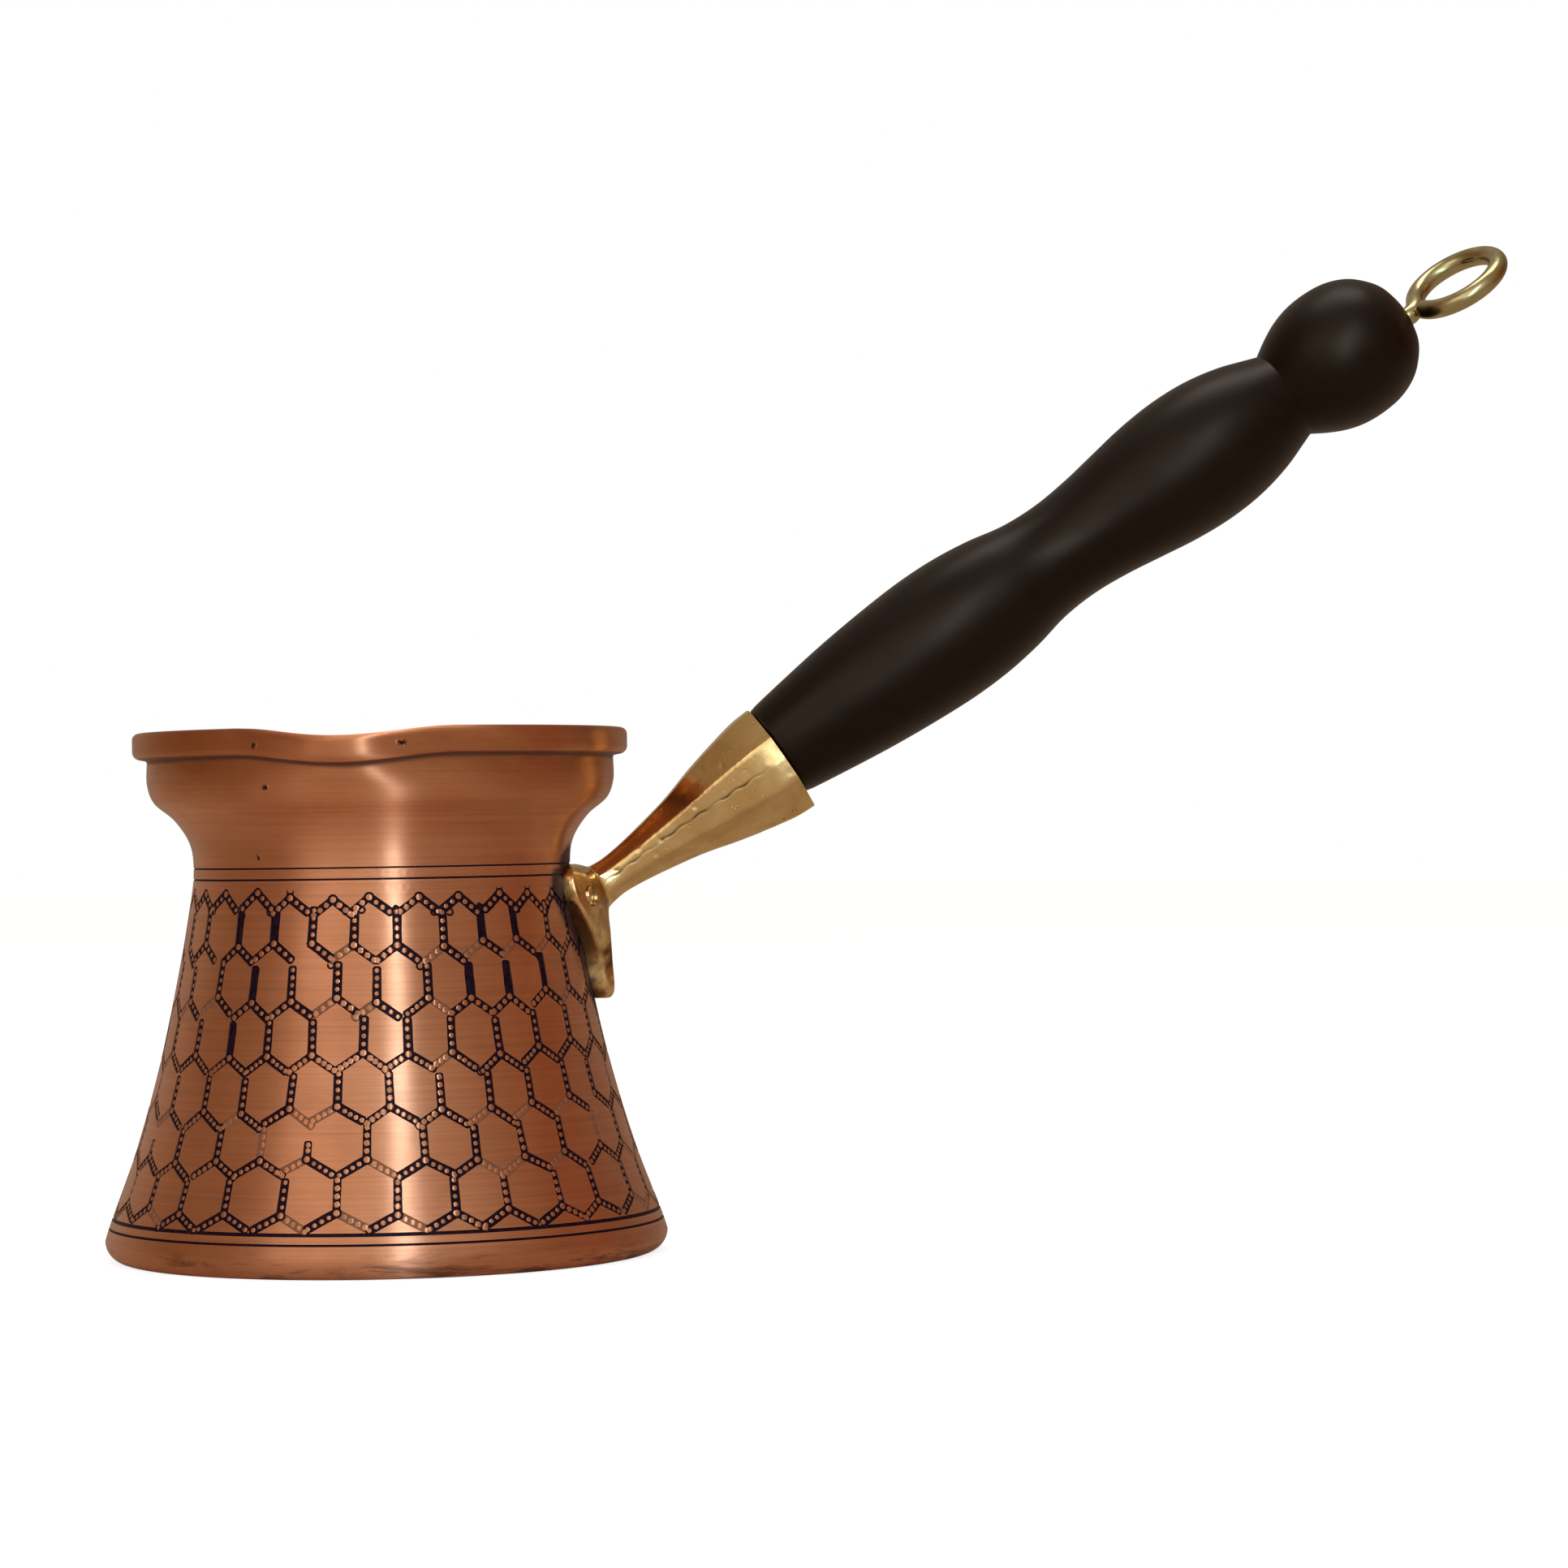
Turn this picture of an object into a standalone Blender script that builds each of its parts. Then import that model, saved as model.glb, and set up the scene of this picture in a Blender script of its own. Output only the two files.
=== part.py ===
"""Turkish coffee pot (cezve): tinned copper body, cast brass bracket, turned wooden grip.

The pot stands on Z = 0 with its axis on Z. The grip rises along +X and the pouring
lip is beside it, towards -Y. Lengths in the tables below are millimetres, and every
one is turned into metres by MM when it becomes geometry.

How the real pot goes together: the bracket is riveted to the wall, the grip's tenon
sits in the bracket's socket, and one long eye bolt passes through the grip and
screws into the bracket, so unscrewing the eye releases the grip.
"""
import math

import bmesh
import bpy
import numpy as np
from mathutils import Matrix, Vector

MM = 0.001
GAP = 0.3                      # clearance between pieces that touch or nest

# Copper body
BASE_RADIUS = 43.0
BASE_FILLET = 3.2
RIM_RADIUS = 37.9
RIM_TOP = 80.4
RIM_UNDERSIDE = 76.2
RIM_ROUND = 1.0
RIM_FOOT = (0.7, 0.5)          # bevel where the rim meets its underside: inward, upward
RIM_FOOT_TOP = 1.4
MOUTH_CHAMFER = 0.4
COLLAR_RADIUS = 35.7
WALL = 1.25
FLOOR = 1.6
FLOOR_ROUND = 3.0
BODY_STEPS = 60
# Outer wall from under the rim down to the base fillet: radius, height.
WALL_KEYS = [
    (COLLAR_RADIUS, RIM_UNDERSIDE), (35.7, 72.4), (34.75, 69.8), (31.6, 67.0), (29.3, 63.3),
    (28.83, 59.0), (29.7, 52.4), (31.8, 41.3), (34.6, 28.9), (38.4, 15.9), (42.3, 5.4),
]

# Pouring lip
LIP_ANGLE = math.radians(-99.2)
LIP_HALF_WIDTH = math.radians(27.0)
LIP_PULL = 3.0
LIP_DIP = 1.35
LIP_BOTTOM = 70.0
LIP_DIP_BOTTOM = 70.4

# Tin lining inside the body
LINING = 0.35
LINING_TOP = 79.6
LINING_STEPS = 48

# Axis that the socket, the grip's tenon and the eye bolt share
GRIP_RISE = math.radians(34.18)
MOUTH_X = 61.64
MOUTH_Z = 75.26

# Cast brass bracket: the plate's half width, edge thickness and ridge height by height
PLATE_BACK_TOP = (29.15, 57.0)
PLATE_BACK_LOW = (32.65, 40.5)
RIDGE_HALF_WIDTH = 2.3
PLATE_STATIONS = [
    (59.4, 6.6, 0.9, 1.4), (58.8, 8.9, 1.5, 3.0), (57.0, 10.2, 1.7, 4.4), (54.0, 10.4, 1.8, 4.9),
    (51.5, 9.0, 1.9, 4.4), (49.0, 6.9, 1.9, 4.1), (46.5, 5.0, 1.9, 3.7), (44.0, 4.0, 1.9, 3.3),
    (41.0, 3.7, 1.8, 2.9), (39.6, 3.2, 1.5, 2.5), (38.7, 2.1, 1.0, 1.7),
]
# Socket horn: distance from the mouth, half height across the flats
HORN_STATIONS = [
    (-37.5, 4.3), (-34.8, 3.5), (-32.0, 3.1), (-28.8, 3.3), (-23.3, 4.15), (-18.3, 5.1),
    (-12.3, 6.75), (-6.7, 8.0), (-2.8, 8.7), (0.0, 8.85),
]
HORN_SIDES = 8
TENON_RADIUS = 5.0
TENON_LENGTH = 6.0
POCKET_DEPTH = TENON_LENGTH + GAP
THREAD_DEPTH = 14.0
SEAT_STEPS = 96
OVERSHOOT = 3.0                # how far cutters run past the faces they open

# Rivets: angle round the pot, height, slope of the plate under the peened end
RIVET_RADIUS = 1.5
RIVET_HEAD_RADIUS = 2.8
RIVET_HEAD_HEIGHT = 1.2
RIVET_TIP_CHAMFER = 0.2
HEAD_ROOM = 0.35               # the lining curves away from the flat side of a head
HOLE_START = 20.0              # distance from the pot's axis, inside every rivet
HOLE_BEYOND = 12.0             # past the wall, outside the plate
RIVET_STEPS = 20
RIVETS = {
    "rivet_top_front": (math.radians(-13.5), 54.6, 3.05),
    "rivet_top_back": (math.radians(13.5), 54.6, 3.05),
    "rivet_bottom": (0.0, 41.4, 2.85),
}

# Wooden grip: distance from the mouth, radius. Its turned shape sits above the bolt's axis.
GRIP_ECCENTRIC = 1.1
GRIP_SWELLS = [
    (0.0, 7.6), (5.4, 8.4), (15.5, 9.7), (25.0, 10.5), (31.0, 10.75), (37.0, 10.55), (43.0, 9.8),
    (49.0, 8.6), (55.0, 8.28), (61.0, 8.76), (67.0, 9.66), (73.0, 10.55), (79.5, 10.98),
    (85.5, 10.63), (91.0, 9.5), (95.5, 7.95), (97.3, 7.3),
]
GRIP_KNOB = [
    (97.3, 7.3), (99.9, 8.85), (102.5, 10.1), (105.5, 10.95), (109.0, 11.2), (112.5, 10.8),
    (115.5, 9.6), (117.5, 8.0), (119.2, 5.9), (120.0, 3.8),
]
GRIP_LENGTH = 120.1
GRIP_CHAMFER = 0.5
GRIP_STEPS = 32
BORE_RADIUS = 1.8
BORE_SIDES = 16

# Eye bolt
WIRE_RADIUS = 1.5
BOLT_ENGAGEMENT = 12.0
EYE_RADIUS = 7.15
EYE_CENTRE = 10.15             # beyond the end of the grip
EYE_TWIST = math.radians(21.5)
EYE_START = math.radians(25.0)
EYE_END = math.radians(349.0)
EYE_POINTS = 30
BEND_LENGTH = 2.4              # along the shank, before the wire reaches the ring
BEND_IN = 1.6
BEND_OUT = 1.3
BEND_POINTS = 5
SHANK_POINTS = 10

# Edges sharper than this are shaded sharp, in degrees
SHARP = 40.0
SHARP_CASTING = 25.0


def clear_scene():
    for obj in list(bpy.data.objects):
        bpy.data.objects.remove(obj, do_unlink=True)


def make_collection(name):
    collection = bpy.data.collections.new(name)
    bpy.context.scene.collection.children.link(collection)
    return collection


def material(name, colour, roughness, metallic):
    mat = bpy.data.materials.new(name)
    mat.use_nodes = True
    shader = mat.node_tree.nodes["Principled BSDF"]
    shader.inputs["Base Color"].default_value = (*colour, 1.0)
    shader.inputs["Roughness"].default_value = roughness
    shader.inputs["Metallic"].default_value = metallic
    return mat


def mesh_object(name, mesh, collection, mat=None):
    obj = bpy.data.objects.new(name, mesh)
    collection.objects.link(obj)
    if mat is not None:
        obj.data.materials.clear()
        obj.data.materials.append(mat)
    return obj


def as_mesh(obj):
    """The object's evaluated shape as a mesh of its own."""
    graph = bpy.context.evaluated_depsgraph_get()
    return bpy.data.meshes.new_from_object(obj.evaluated_get(graph))


def smooth_through(keys, parts):
    """A Catmull-Rom curve through the key points, each span cut into equal parts."""
    points = [np.array(key, dtype=float) for key in keys]
    points = [2 * points[0] - points[1]] + points + [2 * points[-1] - points[-2]]
    curve = []
    for i in range(1, len(points) - 2):
        before, start, end, after = points[i - 1:i + 3]
        knots = [0.0]
        for a, b in ((before, start), (start, end), (end, after)):
            knots.append(knots[-1] + math.sqrt(np.linalg.norm(b - a)))
        for k in range(parts):
            t = knots[1] + (knots[2] - knots[1]) * k / parts
            curve.append(centripetal(before, start, end, after, knots, t))
    curve.append(points[-2])
    return [tuple(point) for point in curve]


def centripetal(p0, p1, p2, p3, knots, t):
    t0, t1, t2, t3 = knots
    a1 = (t1 - t) / (t1 - t0) * p0 + (t - t0) / (t1 - t0) * p1
    a2 = (t2 - t) / (t2 - t1) * p1 + (t - t1) / (t2 - t1) * p2
    a3 = (t3 - t) / (t3 - t2) * p2 + (t - t2) / (t3 - t2) * p3
    b1 = (t2 - t) / (t2 - t0) * a1 + (t - t0) / (t2 - t0) * a2
    b2 = (t3 - t) / (t3 - t1) * a2 + (t - t1) / (t3 - t1) * a3
    return (t2 - t) / (t2 - t1) * b1 + (t - t1) / (t2 - t1) * b2


def arc(centre, radius, start, end, parts):
    """Points on an arc, the angles in degrees."""
    angles = np.radians(np.linspace(start, end, parts + 1))
    return [(centre[0] + radius * math.cos(a), centre[1] + radius * math.sin(a)) for a in angles]


def inset(profile, distance):
    """The profile moved towards the axis side, square to its own direction."""
    points = np.array(profile)
    along = np.gradient(points, axis=0)
    along /= np.linalg.norm(along, axis=1)[:, None]
    inward = np.stack([along[:, 1], -along[:, 0]], axis=1)
    return [tuple(point) for point in points + inward * distance]


def wall_radius(height):
    """Outer radius of the copper wall at a height between the base and the rim."""
    points = np.array(outer_wall())
    return float(np.interp(-height, -points[:, 1], points[:, 0]))


def outer_wall():
    return smooth_through(WALL_KEYS, 2)


def base_fillet(parts):
    centre = (BASE_RADIUS - BASE_FILLET, BASE_FILLET)
    return arc(centre, BASE_FILLET, 0, -90, parts)


def turned(name, profile, steps, collection, mat=None):
    """A profile of radius and height, spun about the object's Z axis."""
    mesh = bpy.data.meshes.new(name)
    verts = [(radius * MM, 0.0, height * MM) for radius, height in profile]
    edges = [(i, i + 1) for i in range(len(verts) - 1)]
    mesh.from_pydata(verts, edges, [])
    obj = mesh_object(name, mesh, collection, mat)
    screw = obj.modifiers.new("Spin", "SCREW")
    screw.axis = "Z"
    screw.angle = math.tau
    screw.steps = steps
    screw.render_steps = steps
    screw.use_merge_vertices = True
    screw.merge_threshold = 0.00001
    screw.use_smooth_shade = True
    return obj


def baked(obj, mat=None):
    """Turn the object's modifiers into its mesh."""
    mesh = as_mesh(obj)
    mesh.name = obj.name
    obj.modifiers.clear()
    obj.data = mesh
    if mat is not None:
        mesh.materials.clear()
        mesh.materials.append(mat)
    return obj


def cylinder(name, radius, start, end, matrix, collection, sides=24):
    """A cylinder along the local Z axis of the matrix, from start to end."""
    mesh = bpy.data.meshes.new(name)
    bm = bmesh.new()
    centre = Matrix.Translation((0.0, 0.0, (start + end) / 2 * MM))
    bmesh.ops.create_cone(
        bm, cap_ends=True, segments=sides, radius1=radius * MM, radius2=radius * MM,
        depth=(end - start) * MM, matrix=centre)
    bm.to_mesh(mesh)
    bm.free()
    obj = mesh_object(name, mesh, collection)
    obj.matrix_world = matrix
    return obj


def as_cutter(obj):
    obj.hide_render = True
    obj.display_type = "WIRE"
    return obj


def boolean(obj, other, operation):
    modifier = obj.modifiers.new(operation.title(), "BOOLEAN")
    modifier.operation = operation
    modifier.solver = "EXACT"
    modifier.object = other


def lofted(name, rings, collection, mat=None):
    """A closed skin over rings of equal count, each end closed by one face."""
    mesh = bpy.data.meshes.new(name)
    bm = bmesh.new()
    layers = [[bm.verts.new(Vector(p) * MM) for p in ring] for ring in rings]
    count = len(rings[0])
    for low, high in zip(layers, layers[1:]):
        for i in range(count):
            j = (i + 1) % count
            bm.faces.new((low[i], low[j], high[j], high[i]))
    bm.faces.new(layers[0][::-1])
    bm.faces.new(layers[-1])
    bmesh.ops.recalc_face_normals(bm, faces=bm.faces)
    bm.to_mesh(mesh)
    bm.free()
    return mesh_object(name, mesh, collection, mat)


def shade(obj, angle=SHARP):
    obj.data.shade_smooth()
    obj.data.set_sharp_from_angle(angle=math.radians(angle))


def smoothstep(low, high, value):
    t = min(max((value - low) / (high - low), 0.0), 1.0)
    return t * t * (3.0 - 2.0 * t)


def draw_lip(mesh):
    """Pull the collar and rim outward and down to form the pouring lip."""
    for vert in mesh.vertices:
        height = vert.co.z / MM
        radius = vert.co.xy.length / MM
        if height < LIP_BOTTOM or radius < 1.0:
            continue
        angle = math.atan2(vert.co.y, vert.co.x) - LIP_ANGLE
        angle = (angle + math.pi) % math.tau - math.pi
        if abs(angle) > LIP_HALF_WIDTH:
            continue
        across = math.cos(angle / LIP_HALF_WIDTH * math.pi / 2) ** 2
        out = LIP_PULL * across * smoothstep(LIP_BOTTOM, RIM_TOP, height)
        scale = (radius + out) / radius
        vert.co.x *= scale
        vert.co.y *= scale
        vert.co.z -= LIP_DIP * MM * across * smoothstep(LIP_DIP_BOTTOM, RIM_UNDERSIDE, height)


def body_profile():
    """Closed section of the copper body, from the inner floor over the rim to the base."""
    wall = outer_wall()
    outside = wall + base_fillet(4)
    inner = inset(wall, WALL)[::2]
    inner[0] = (COLLAR_RADIUS - WALL, RIM_UNDERSIDE)
    corner = inner[-1][0] - FLOOR_ROUND
    inner += arc((corner, FLOOR + FLOOR_ROUND), FLOOR_ROUND, 0, -90, 3)[1:] + [(0.0, FLOOR)]
    mouth = COLLAR_RADIUS - WALL
    rim = [(mouth, RIM_TOP - MOUTH_CHAMFER), (mouth + MOUTH_CHAMFER, RIM_TOP)]
    rim += arc((RIM_RADIUS - RIM_ROUND, RIM_TOP - RIM_ROUND), RIM_ROUND, 90, 0, 2)
    rim.append((RIM_RADIUS, RIM_UNDERSIDE + RIM_FOOT_TOP))
    rim.append((RIM_RADIUS - RIM_FOOT[0], RIM_UNDERSIDE + RIM_FOOT[1]))
    return inner[::-1] + rim + outside + [(0.0, 0.0)]


def lining_profile():
    """Closed section of the tin, a thin skin inside the copper."""
    copper = body_profile()
    top = next(i for i, point in enumerate(copper) if point[1] > LINING_TOP)
    inside = copper[1:top][::-1] + [(0.0, FLOOR)]
    inside[0] = (COLLAR_RADIUS - WALL, LINING_TOP)
    layers = []
    for distance in (GAP, GAP + LINING):
        layer = inset(inside, distance)
        layer[0] = (layer[0][0], LINING_TOP)
        layer[-1] = (0.0, FLOOR + distance)
        layers.append(layer)
    outer, inner = layers
    return inner[::-1] + outer


def radial_frame(angle, height):
    """A frame on the pot's axis whose Z points out of the wall at the angle."""
    turn = Matrix.Rotation(angle, 4, "Z") @ Matrix.Rotation(math.pi / 2, 4, "Y")
    return Matrix.Translation((0.0, 0.0, height * MM)) @ turn


def cut_rivet_holes(obj, cutters):
    for name, (angle, height, _) in RIVETS.items():
        hole = cylinder(
            f"hole_{obj.name}_{name}", RIVET_RADIUS + GAP, HOLE_START,
            wall_radius(height) + HOLE_BEYOND, radial_frame(angle, height), cutters, RIVET_STEPS)
        boolean(obj, as_cutter(hole), "DIFFERENCE")


def make_body(parts, cutters, copper):
    body = turned("pot_body", body_profile(), BODY_STEPS, parts, copper)
    baked(body, copper)
    draw_lip(body.data)
    cut_rivet_holes(body, cutters)
    shade(body)


def make_lining(parts, cutters, tin):
    lining = turned("tin_lining", lining_profile(), LINING_STEPS, parts, tin)
    baked(lining, tin)
    draw_lip(lining.data)
    cut_rivet_holes(lining, cutters)
    shade(lining)


def plate_back(height):
    (top_radius, top), (low_radius, low) = PLATE_BACK_TOP, PLATE_BACK_LOW
    return top_radius + (low_radius - top_radius) * (top - height) / (top - low)


def plate_ring(height, half_width, edge, ridge):
    """One level section of the plate: an arc along the back, a roof with a flat ridge."""
    back = plate_back(height)
    flat = min(RIDGE_HALF_WIDTH, 0.6 * half_width)
    outline = [(-half_width, edge), (-flat, ridge), (flat, ridge), (half_width, edge)]
    outline += [(half_width * share, 0.0) for share in (1.0, 0.5, 0.0, -0.5, -1.0)]
    ring = []
    for across, depth in outline:
        angle = across / back
        radius = back + depth
        ring.append((radius * math.cos(angle), radius * math.sin(angle), height))
    return ring


def grip_frame():
    """Frame at the socket's mouth: Z runs out along the grip, -X is up, Y stays Y."""
    place = Matrix.Translation((MOUTH_X * MM, 0.0, MOUTH_Z * MM))
    return place @ Matrix.Rotation(math.pi / 2 - GRIP_RISE, 4, "Y")


def horn_ring(distance, half_height, frame):
    corner = half_height / math.cos(math.pi / HORN_SIDES)
    ring = []
    for i in range(HORN_SIDES):
        angle = (i + 0.5) * math.tau / HORN_SIDES
        local = Vector((corner * math.cos(angle), corner * math.sin(angle), distance)) * MM
        ring.append(tuple((frame @ local) / MM))
    return ring


def make_bracket(parts, cutters, brass):
    frame = grip_frame()
    bracket = lofted("bracket", [plate_ring(*row) for row in PLATE_STATIONS], parts, brass)
    horn_keys = smooth_through(HORN_STATIONS, 2)
    horn_rings = [horn_ring(distance, size, frame) for distance, size in horn_keys]
    horn = as_cutter(lofted("horn", horn_rings, cutters))
    boolean(bracket, horn, "UNION")
    seat_profile = [(0.0, RIM_UNDERSIDE)] + inset(outer_wall(), -GAP) + [(0.0, WALL_KEYS[-1][1])]
    seat = as_cutter(turned("seat_cutter", seat_profile, SEAT_STEPS, cutters))
    boolean(bracket, seat, "DIFFERENCE")
    pocket = cylinder(
        "pocket_cutter", TENON_RADIUS + GAP, -POCKET_DEPTH, OVERSHOOT, frame, cutters)
    boolean(bracket, as_cutter(pocket), "DIFFERENCE")
    thread_end = -POCKET_DEPTH - THREAD_DEPTH
    thread = cylinder("thread_cutter", BORE_RADIUS, thread_end, 0.0, frame, cutters)
    boolean(bracket, as_cutter(thread), "DIFFERENCE")
    cut_rivet_holes(bracket, cutters)
    shade(bracket, SHARP_CASTING)


def rivet_profile(tip, head_base):
    """Domed head towards the axis, plain shank out to the peened tip."""
    dome_radius = (RIVET_HEAD_RADIUS ** 2 + RIVET_HEAD_HEIGHT ** 2) / (2 * RIVET_HEAD_HEIGHT)
    centre = head_base - RIVET_HEAD_HEIGHT + dome_radius
    spread = math.degrees(math.asin(RIVET_HEAD_RADIUS / dome_radius))
    dome = arc((0.0, centre), dome_radius, -90, -90 + spread, 4)
    dome[0] = (0.0, dome[0][1])
    profile = [(0.0, tip), (RIVET_RADIUS - RIVET_TIP_CHAMFER, tip)]
    profile += [(RIVET_RADIUS, tip - RIVET_TIP_CHAMFER), (RIVET_RADIUS, head_base)]
    return profile + dome[::-1]


def make_rivets(parts, copper):
    for name, (angle, height, proud) in RIVETS.items():
        tip = plate_back(height) + proud
        inner_wall = wall_radius(height) - WALL - GAP - LINING
        head_base = inner_wall - GAP - HEAD_ROOM
        profile = rivet_profile(tip, head_base)
        rivet = turned(name, profile, RIVET_STEPS, parts, copper)
        rivet.matrix_world = radial_frame(angle, height)
        shade(rivet)


def grip_profile():
    swells = smooth_through(GRIP_SWELLS, 2)
    knob = smooth_through(GRIP_KNOB, 2)
    first = GRIP_SWELLS[0][1]
    outline = [(0.0, 0.0), (first - GRIP_CHAMFER, 0.0), (first, GRIP_CHAMFER)]
    outline += [(radius, along) for along, radius in swells[1:] + knob[1:]]
    outline += [(0.0, GRIP_LENGTH)]
    return outline[::-1]


def make_grip(parts, cutters, wood, axis):
    grip = turned("handle_grip", grip_profile(), GRIP_STEPS, parts, wood)
    baked(grip, wood)
    grip.data.transform(Matrix.Translation((-GRIP_ECCENTRIC * MM, 0.0, GAP * MM)))
    grip.parent = axis
    frame = grip_frame()
    tenon = cylinder("tenon", TENON_RADIUS, -TENON_LENGTH, OVERSHOOT, frame, cutters)
    boolean(grip, as_cutter(tenon), "UNION")
    bore = cylinder(
        "bore_cutter", BORE_RADIUS, -TENON_LENGTH - OVERSHOOT, GRIP_LENGTH + OVERSHOOT,
        frame, cutters, BORE_SIDES)
    boolean(grip, as_cutter(bore), "DIFFERENCE")
    shade(grip)


def eye_path():
    """Centre line of the bolt in the grip's frame: shank, bend, then the open eye."""
    eye_at = GRIP_LENGTH + GAP + EYE_CENTRE
    start = -POCKET_DEPTH - BOLT_ENGAGEMENT
    flat = [(along, 0.0) for along in np.linspace(start, GRIP_LENGTH, SHANK_POINTS + 1)]
    bend_from = np.array((eye_at - EYE_RADIUS - BEND_LENGTH, 0.0))
    ring_start = np.array((-math.cos(EYE_START), math.sin(EYE_START))) * EYE_RADIUS
    bend_to = np.array((eye_at, 0.0)) + ring_start
    lead_in = bend_from + np.array((BEND_IN, 0.0))
    lead_out = bend_to - BEND_OUT * np.array((math.sin(EYE_START), math.cos(EYE_START)))
    for t in np.linspace(0.0, 1.0, BEND_POINTS + 1)[:-1]:
        point = ((1 - t) ** 3 * bend_from + 3 * (1 - t) ** 2 * t * lead_in
                 + 3 * (1 - t) * t ** 2 * lead_out + t ** 3 * bend_to)
        flat.append(tuple(point))
    for angle in np.linspace(EYE_START, EYE_END, EYE_POINTS):
        along = eye_at - EYE_RADIUS * math.cos(angle)
        flat.append((along, EYE_RADIUS * math.sin(angle)))
    up, side = math.sin(EYE_TWIST), math.cos(EYE_TWIST)
    return [(-across * up, across * side, along) for along, across in flat]


def make_eye_bolt(parts, steel, axis):
    curve = bpy.data.curves.new("eye_bolt", "CURVE")
    curve.dimensions = "3D"
    curve.bevel_depth = WIRE_RADIUS * MM
    curve.bevel_resolution = 2
    curve.use_fill_caps = True
    curve.materials.append(steel)
    path = eye_path()
    spline = curve.splines.new("POLY")
    spline.points.add(len(path) - 1)
    for point, position in zip(spline.points, path):
        point.co = (*(Vector(position) * MM), 1.0)
    bolt = mesh_object("eye_bolt", curve, parts)
    bolt.parent = axis


def build():
    clear_scene()
    parts = make_collection("cezve")
    cutters = make_collection("cezve_cutters")
    axis = bpy.data.objects.new("grip_axis", None)
    parts.objects.link(axis)
    axis.matrix_world = grip_frame()
    bpy.context.view_layer.update()

    copper = material("copper", (0.72, 0.33, 0.17), 0.32, 1.0)
    tin = material("tin", (0.72, 0.71, 0.68), 0.38, 1.0)
    brass = material("brass", (0.75, 0.56, 0.27), 0.25, 1.0)
    wood = material("dark_wood", (0.030, 0.016, 0.012), 0.38, 0.0)
    plated = material("plated_steel", (0.66, 0.58, 0.36), 0.28, 1.0)

    make_body(parts, cutters, copper)
    make_lining(parts, cutters, tin)
    make_bracket(parts, cutters, brass)
    make_rivets(parts, brass)
    make_grip(parts, cutters, wood, axis)
    make_eye_bolt(parts, plated, axis)


build()
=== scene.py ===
"""Turkish coffee pot (cezve): the looks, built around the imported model.

Lengths in the tables are millimetres and MM turns them into metres. The copper body has
its hand-stamped honeycomb as real grooves, cut in a flat strip of angle and height and
then wrapped round the pot. Every CAD node is replaced by a finer piece of the same shape.
"""
import math
import random

import bmesh
import bpy
import numpy as np
from mathutils import Matrix, Vector, noise
from mathutils.geometry import delaunay_2d_cdt


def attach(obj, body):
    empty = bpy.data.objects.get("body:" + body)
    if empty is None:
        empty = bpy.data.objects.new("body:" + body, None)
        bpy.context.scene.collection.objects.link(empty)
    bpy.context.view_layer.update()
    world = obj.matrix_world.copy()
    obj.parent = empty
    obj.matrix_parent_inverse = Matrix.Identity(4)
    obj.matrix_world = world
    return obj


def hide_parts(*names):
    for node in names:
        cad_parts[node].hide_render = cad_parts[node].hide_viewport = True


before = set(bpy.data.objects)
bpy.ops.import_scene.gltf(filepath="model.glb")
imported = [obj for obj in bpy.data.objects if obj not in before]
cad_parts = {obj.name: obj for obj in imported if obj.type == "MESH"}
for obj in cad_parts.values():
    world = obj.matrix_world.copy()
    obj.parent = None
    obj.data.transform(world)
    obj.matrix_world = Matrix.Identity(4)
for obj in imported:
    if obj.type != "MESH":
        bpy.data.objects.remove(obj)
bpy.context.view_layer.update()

MM = 0.001
ORIGIN = (0.0, 0.0)
WELD = 0.000001                # metres
GAP = 0.3
TURN_STEPS = 288

# Copper body
BASE_RADIUS = 43.0
BASE_FILLET = 3.2
RIM_RADIUS = 37.9
RIM_TOP = 80.4
RIM_UNDERSIDE = 76.2
COLLAR_RADIUS = 35.7
WALL = 1.25
FLOOR = 1.6
FLOOR_ROUND = 3.0
WALL_KEYS = [
    (COLLAR_RADIUS, RIM_UNDERSIDE), (35.7, 72.4), (34.75, 69.8), (31.6, 67.0), (29.3, 63.3),
    (28.83, 59.0), (29.7, 52.4), (31.8, 41.3), (34.6, 28.9), (38.4, 15.9), (42.3, 5.4),
]
LIP_ANGLE = math.radians(-99.2)
LIP_HALF_WIDTH = math.radians(27.0)
LIP_PULL = 3.0
LIP_DIP = 1.35
LIP_BOTTOM = 70.0
LIP_DIP_BOTTOM = 70.4
RIM_CORNER = 0.35              # hollow corner between collar and rim
RIM_ROUND_LOW = 1.25
RIM_ROUND_TOP = 1.0
MOUTH_ROUND = 0.5
LINING = 0.35
LINING_TOP = 79.6

# Grip axis
GRIP_RISE = math.radians(34.18)
MOUTH_X = 61.64
MOUTH_Z = 75.26

# Bracket
PLATE_BACK_TOP = (29.15, 57.0)
PLATE_BACK_LOW = (32.65, 40.5)
RIDGE_HALF_WIDTH = 2.3
PLATE_STATIONS = [
    (59.4, 6.6, 0.9, 1.4), (58.8, 8.9, 1.5, 3.0), (57.0, 10.2, 1.7, 4.4), (54.0, 10.4, 1.8, 4.9),
    (51.5, 9.0, 1.9, 4.4), (49.0, 6.9, 1.9, 4.1), (46.5, 5.0, 1.9, 3.7), (44.0, 4.0, 1.9, 3.3),
    (41.0, 3.7, 1.8, 2.9), (39.6, 3.2, 1.5, 2.5), (38.7, 2.1, 1.0, 1.7),
]
HORN_STATIONS = [
    (-37.5, 4.3), (-34.8, 3.5), (-32.0, 3.1), (-28.8, 3.3), (-23.3, 4.15), (-18.3, 5.1),
    (-12.3, 6.75), (-6.7, 8.0), (-2.8, 8.7), (0.0, 8.85),
]
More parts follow.
